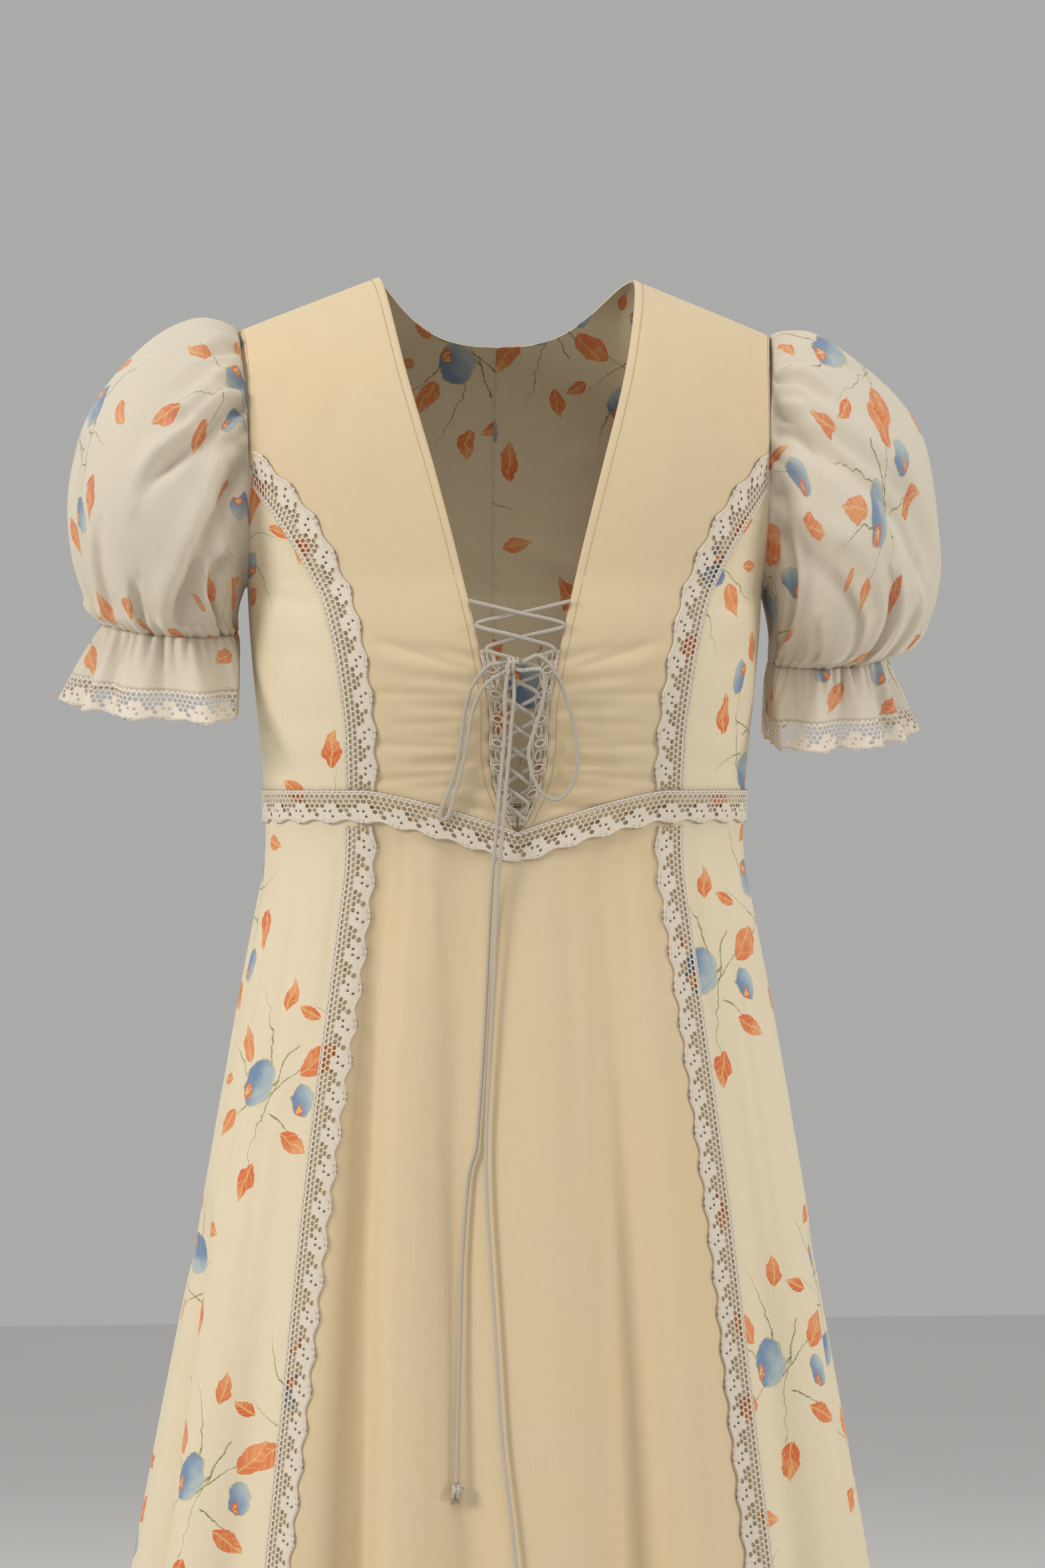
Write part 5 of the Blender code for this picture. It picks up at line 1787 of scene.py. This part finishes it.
def crochet(name, surface, outward):
    """Rings of thread by turns wide and tall, between a picot edge and a chain."""
    units = 7
    pieces = []

    def put(along, across, radius, looped=True):
        path = surface(across, along) + normals(surface, across, along, outward) * 0.3
        pieces.append(tube(name, path, radius, 6, looped))

    ring = np.linspace(0, 2 * np.pi, 21)
    unit = 1 / units
    for i in range(units):
        for grown, radius in ((1.0, 0.42), (0.8, 0.36)):
            put(unit * (i + 0.22 + 0.15 * grown * np.sin(ring)), 0.52 + 0.34 * grown * np.cos(ring), radius)
            put(unit * (i + 0.72 + 0.27 * grown * np.sin(ring)), 0.46 + 0.20 * grown * np.cos(ring), radius)
        for turn in (0.47, 0.97):
            put(unit * (i + turn + 0.05 * np.sin(ring)), 0.76 + 0.10 * np.cos(ring), 0.36)
    run = np.linspace(0.002, 0.998, 140)
    wave = np.cos(2 * np.pi * (run * units - 0.22))
    put(run, 0.10 - 0.08 * wave, 0.5 + 0.12 * np.cos(40 * run * units), False)
    for share, radius in ((0.88, 0.42), (0.99, 0.5)):
        put(run, np.full_like(run, share), radius * (1 + 0.2 * np.cos(30 * run * units)), False)
    return join(pieces, name)


# ---- stitching


def sew(name, surface, outward, across, up):
    """A row of stitches through the places of a surface, which dip into the cloth between them."""
    stitch = bpy.context.scene.dress_sizes.stitch / MM
    line = surface(across, up)
    run = np.concatenate([[0], np.cumsum(np.linalg.norm(np.diff(line, axis=0), axis=1))])
    at = np.arange(0, run[-1], stitch / 4)
    across, up = np.interp(at, run, across), np.interp(at, run, up)
    rise = 0.16 * np.cos(2 * np.pi * at / stitch) + 0.02
    path = surface(across, up) + normals(surface, across, up, outward) * rise[:, None]
    return tube(name, path, 0.17, 4)


def inset(surface, up, distance, from_far=False):
    """Share across a surface that lies a distance in millimetres from one of its side edges."""
    wide = [run_of(surface(np.linspace(0, 1, 12), np.full(12, row))) for row in up]
    share = np.minimum(distance / np.array(wide), 0.45)
    return 1 - share if from_far else share


class DRESS_OT_stitching(bpy.types.Operator):
    """Rows of stitches along the neckline, the opening, the princess seams and the hem"""

    bl_idname = "dress.stitching"
    bl_label = "Stitching"

    def execute(self, context):
        hem = context.scene.dress_sizes.hem / MM
        rows, steps = [], np.linspace(0.003, 0.997, 240)
        for side, turn, mirror in (("right", 1, lambda s: s), ("left", -1, mirrored)):
            front = creased(mirror(yoke), bodice_creases, turn)
            rows.append(sew("stitches", front, turn, inset(front, steps, 4.0), steps))
            rows.append(sew("stitches", front, turn, inset(front, steps, 2.6, True), steps))
            panel = creased(mirror(side_front), bodice_creases, turn)
            rows.append(sew("stitches", panel, turn, inset(panel, steps, 2.6), steps))
            behind = creased(mirror(back), bodice_creases, turn)
            neck = NECK_FROM + steps * (1 - NECK_FROM)
            rows.append(sew("stitches", behind, turn, neck, np.full_like(steps, 0.972)))
        dress_piece(join(rows, "bodice_stitches"), (), "straw_cotton", [look("sewing_thread")])
        around = np.linspace(-179.8, 179.8, 1500)
        level = np.full_like(around, HEM_DROP - hem)
        hemmed = sew("hem_stitches", skirt, -1, around, level)
        dress_piece(hemmed, (), "straw_cotton", [look("sewing_thread")])
        return {"FINISHED"}


# ---- stage


class DRESS_OT_stage(bpy.types.Operator):
    """Camera at the picture's angle, pale floor and soft studio light"""

    bl_idname = "dress.stage"
    bl_label = "Stage"

    def execute(self, context):
        turn = math.radians(CAMERA_TURN)
        away = Vector((math.sin(turn), -math.cos(turn), 0)) * CAMERA_AWAY
        bpy.ops.object.camera_add(location=Vector(CAMERA_LOOK) + away)
        camera = bpy.context.active_object
        camera.rotation_mode = "QUATERNION"
        camera.rotation_quaternion = (-away).to_track_quat("-Z", "Y")
        camera.data.sensor_width = SENSOR
        camera.data.lens = SENSOR * CAMERA_AWAY / PICTURE_TALL
        camera.data.clip_end = 50
        context.scene.camera = camera
        bpy.ops.mesh.primitive_plane_add(size=12, location=(0, 0, HEM_Z - 0.004))
        floor = bpy.context.active_object
        floor.name = "studio_floor"
        own_mesh(floor)
        floor.data.materials.append(floor_look(context.scene.dress_colours.floor))
        lights = (
            # place, size, watts, colour
            ((-2.6, -1.2, 0.75), 0.8, 42, (1.0, 0.99, 0.97)),
            ((2.7, -1.1, 0.35), 0.8, 27, (1.0, 0.99, 0.97)),
            ((0.1, -1.0, 2.4), 1.2, 27, (1.0, 0.99, 0.98)),
            ((0.0, 2.6, 1.2), 2.0, 22, (1.0, 1.0, 1.0)),
        )
        for place, size, watts, tint in lights:
            bpy.ops.object.light_add(type="AREA", location=place)
            lamp = bpy.context.active_object
            lamp.data.size, lamp.data.energy, lamp.data.color = size, watts, tint
            aim = Vector((0, 0, -0.35)) - Vector(place)
            lamp.rotation_mode = "QUATERNION"
            lamp.rotation_quaternion = aim.to_track_quat("-Z", "Y")
        world = bpy.data.worlds.new("studio")
        world.use_nodes = True
        world.node_tree.nodes["Background"].inputs["Color"].default_value = (0.88, 0.88, 0.87, 1)
        world.node_tree.nodes["Background"].inputs["Strength"].default_value = 0.46
        context.scene.world = world
        context.scene.view_settings.view_transform = "Standard"
        return {"FINISHED"}


def floor_look(base):
    paint = Paint("studio_floor")
    place = paint.node("ShaderNodeTexCoord")[3]
    drift = paint.node("ShaderNodeTexNoise", {}, {"Vector": place, "Scale": 1.5})[0]
    toned = paint.mix(drift, shade(base, 0.98), shade(base, 1.02))
    return paint.finish({"Roughness": 0.9}, Base_Color=toned)


class DRESS_PT_panel(bpy.types.Panel):
    """Sizes and colours of the dress, and its pieces"""

    bl_idname = "DRESS_PT_panel"
    bl_label = "Prairie dress"
    bl_space_type = "VIEW_3D"
    bl_region_type = "UI"
    bl_category = "Dress"

    def draw(self, context):
        for group in (context.scene.dress_sizes, context.scene.dress_colours):
            box = self.layout.box()
            for name in group.__annotations__:
                box.prop(group, name)
        for operator in STEPS:
            self.layout.operator(operator.bl_idname)


STEPS = (
    DRESS_OT_stage, DRESS_OT_cords, DRESS_OT_bodice, DRESS_OT_skirt, DRESS_OT_sleeves, DRESS_OT_laces,
    DRESS_OT_stitching,
)
CLASSES = (DressSizes, DressColours, *STEPS, DRESS_PT_panel)


def register():
    for made in CLASSES:
        bpy.utils.register_class(made)
    bpy.types.Scene.dress_sizes = PointerProperty(type=DressSizes)
    bpy.types.Scene.dress_colours = PointerProperty(type=DressColours)


def unregister():
    del bpy.types.Scene.dress_sizes, bpy.types.Scene.dress_colours
    for made in reversed(CLASSES):
        bpy.utils.unregister_class(made)


def main():
    register()
    deselect()
    for operator in STEPS:
        getattr(bpy.ops.dress, operator.bl_idname.split(".")[1])()


if __name__ == "__main__":
    main()
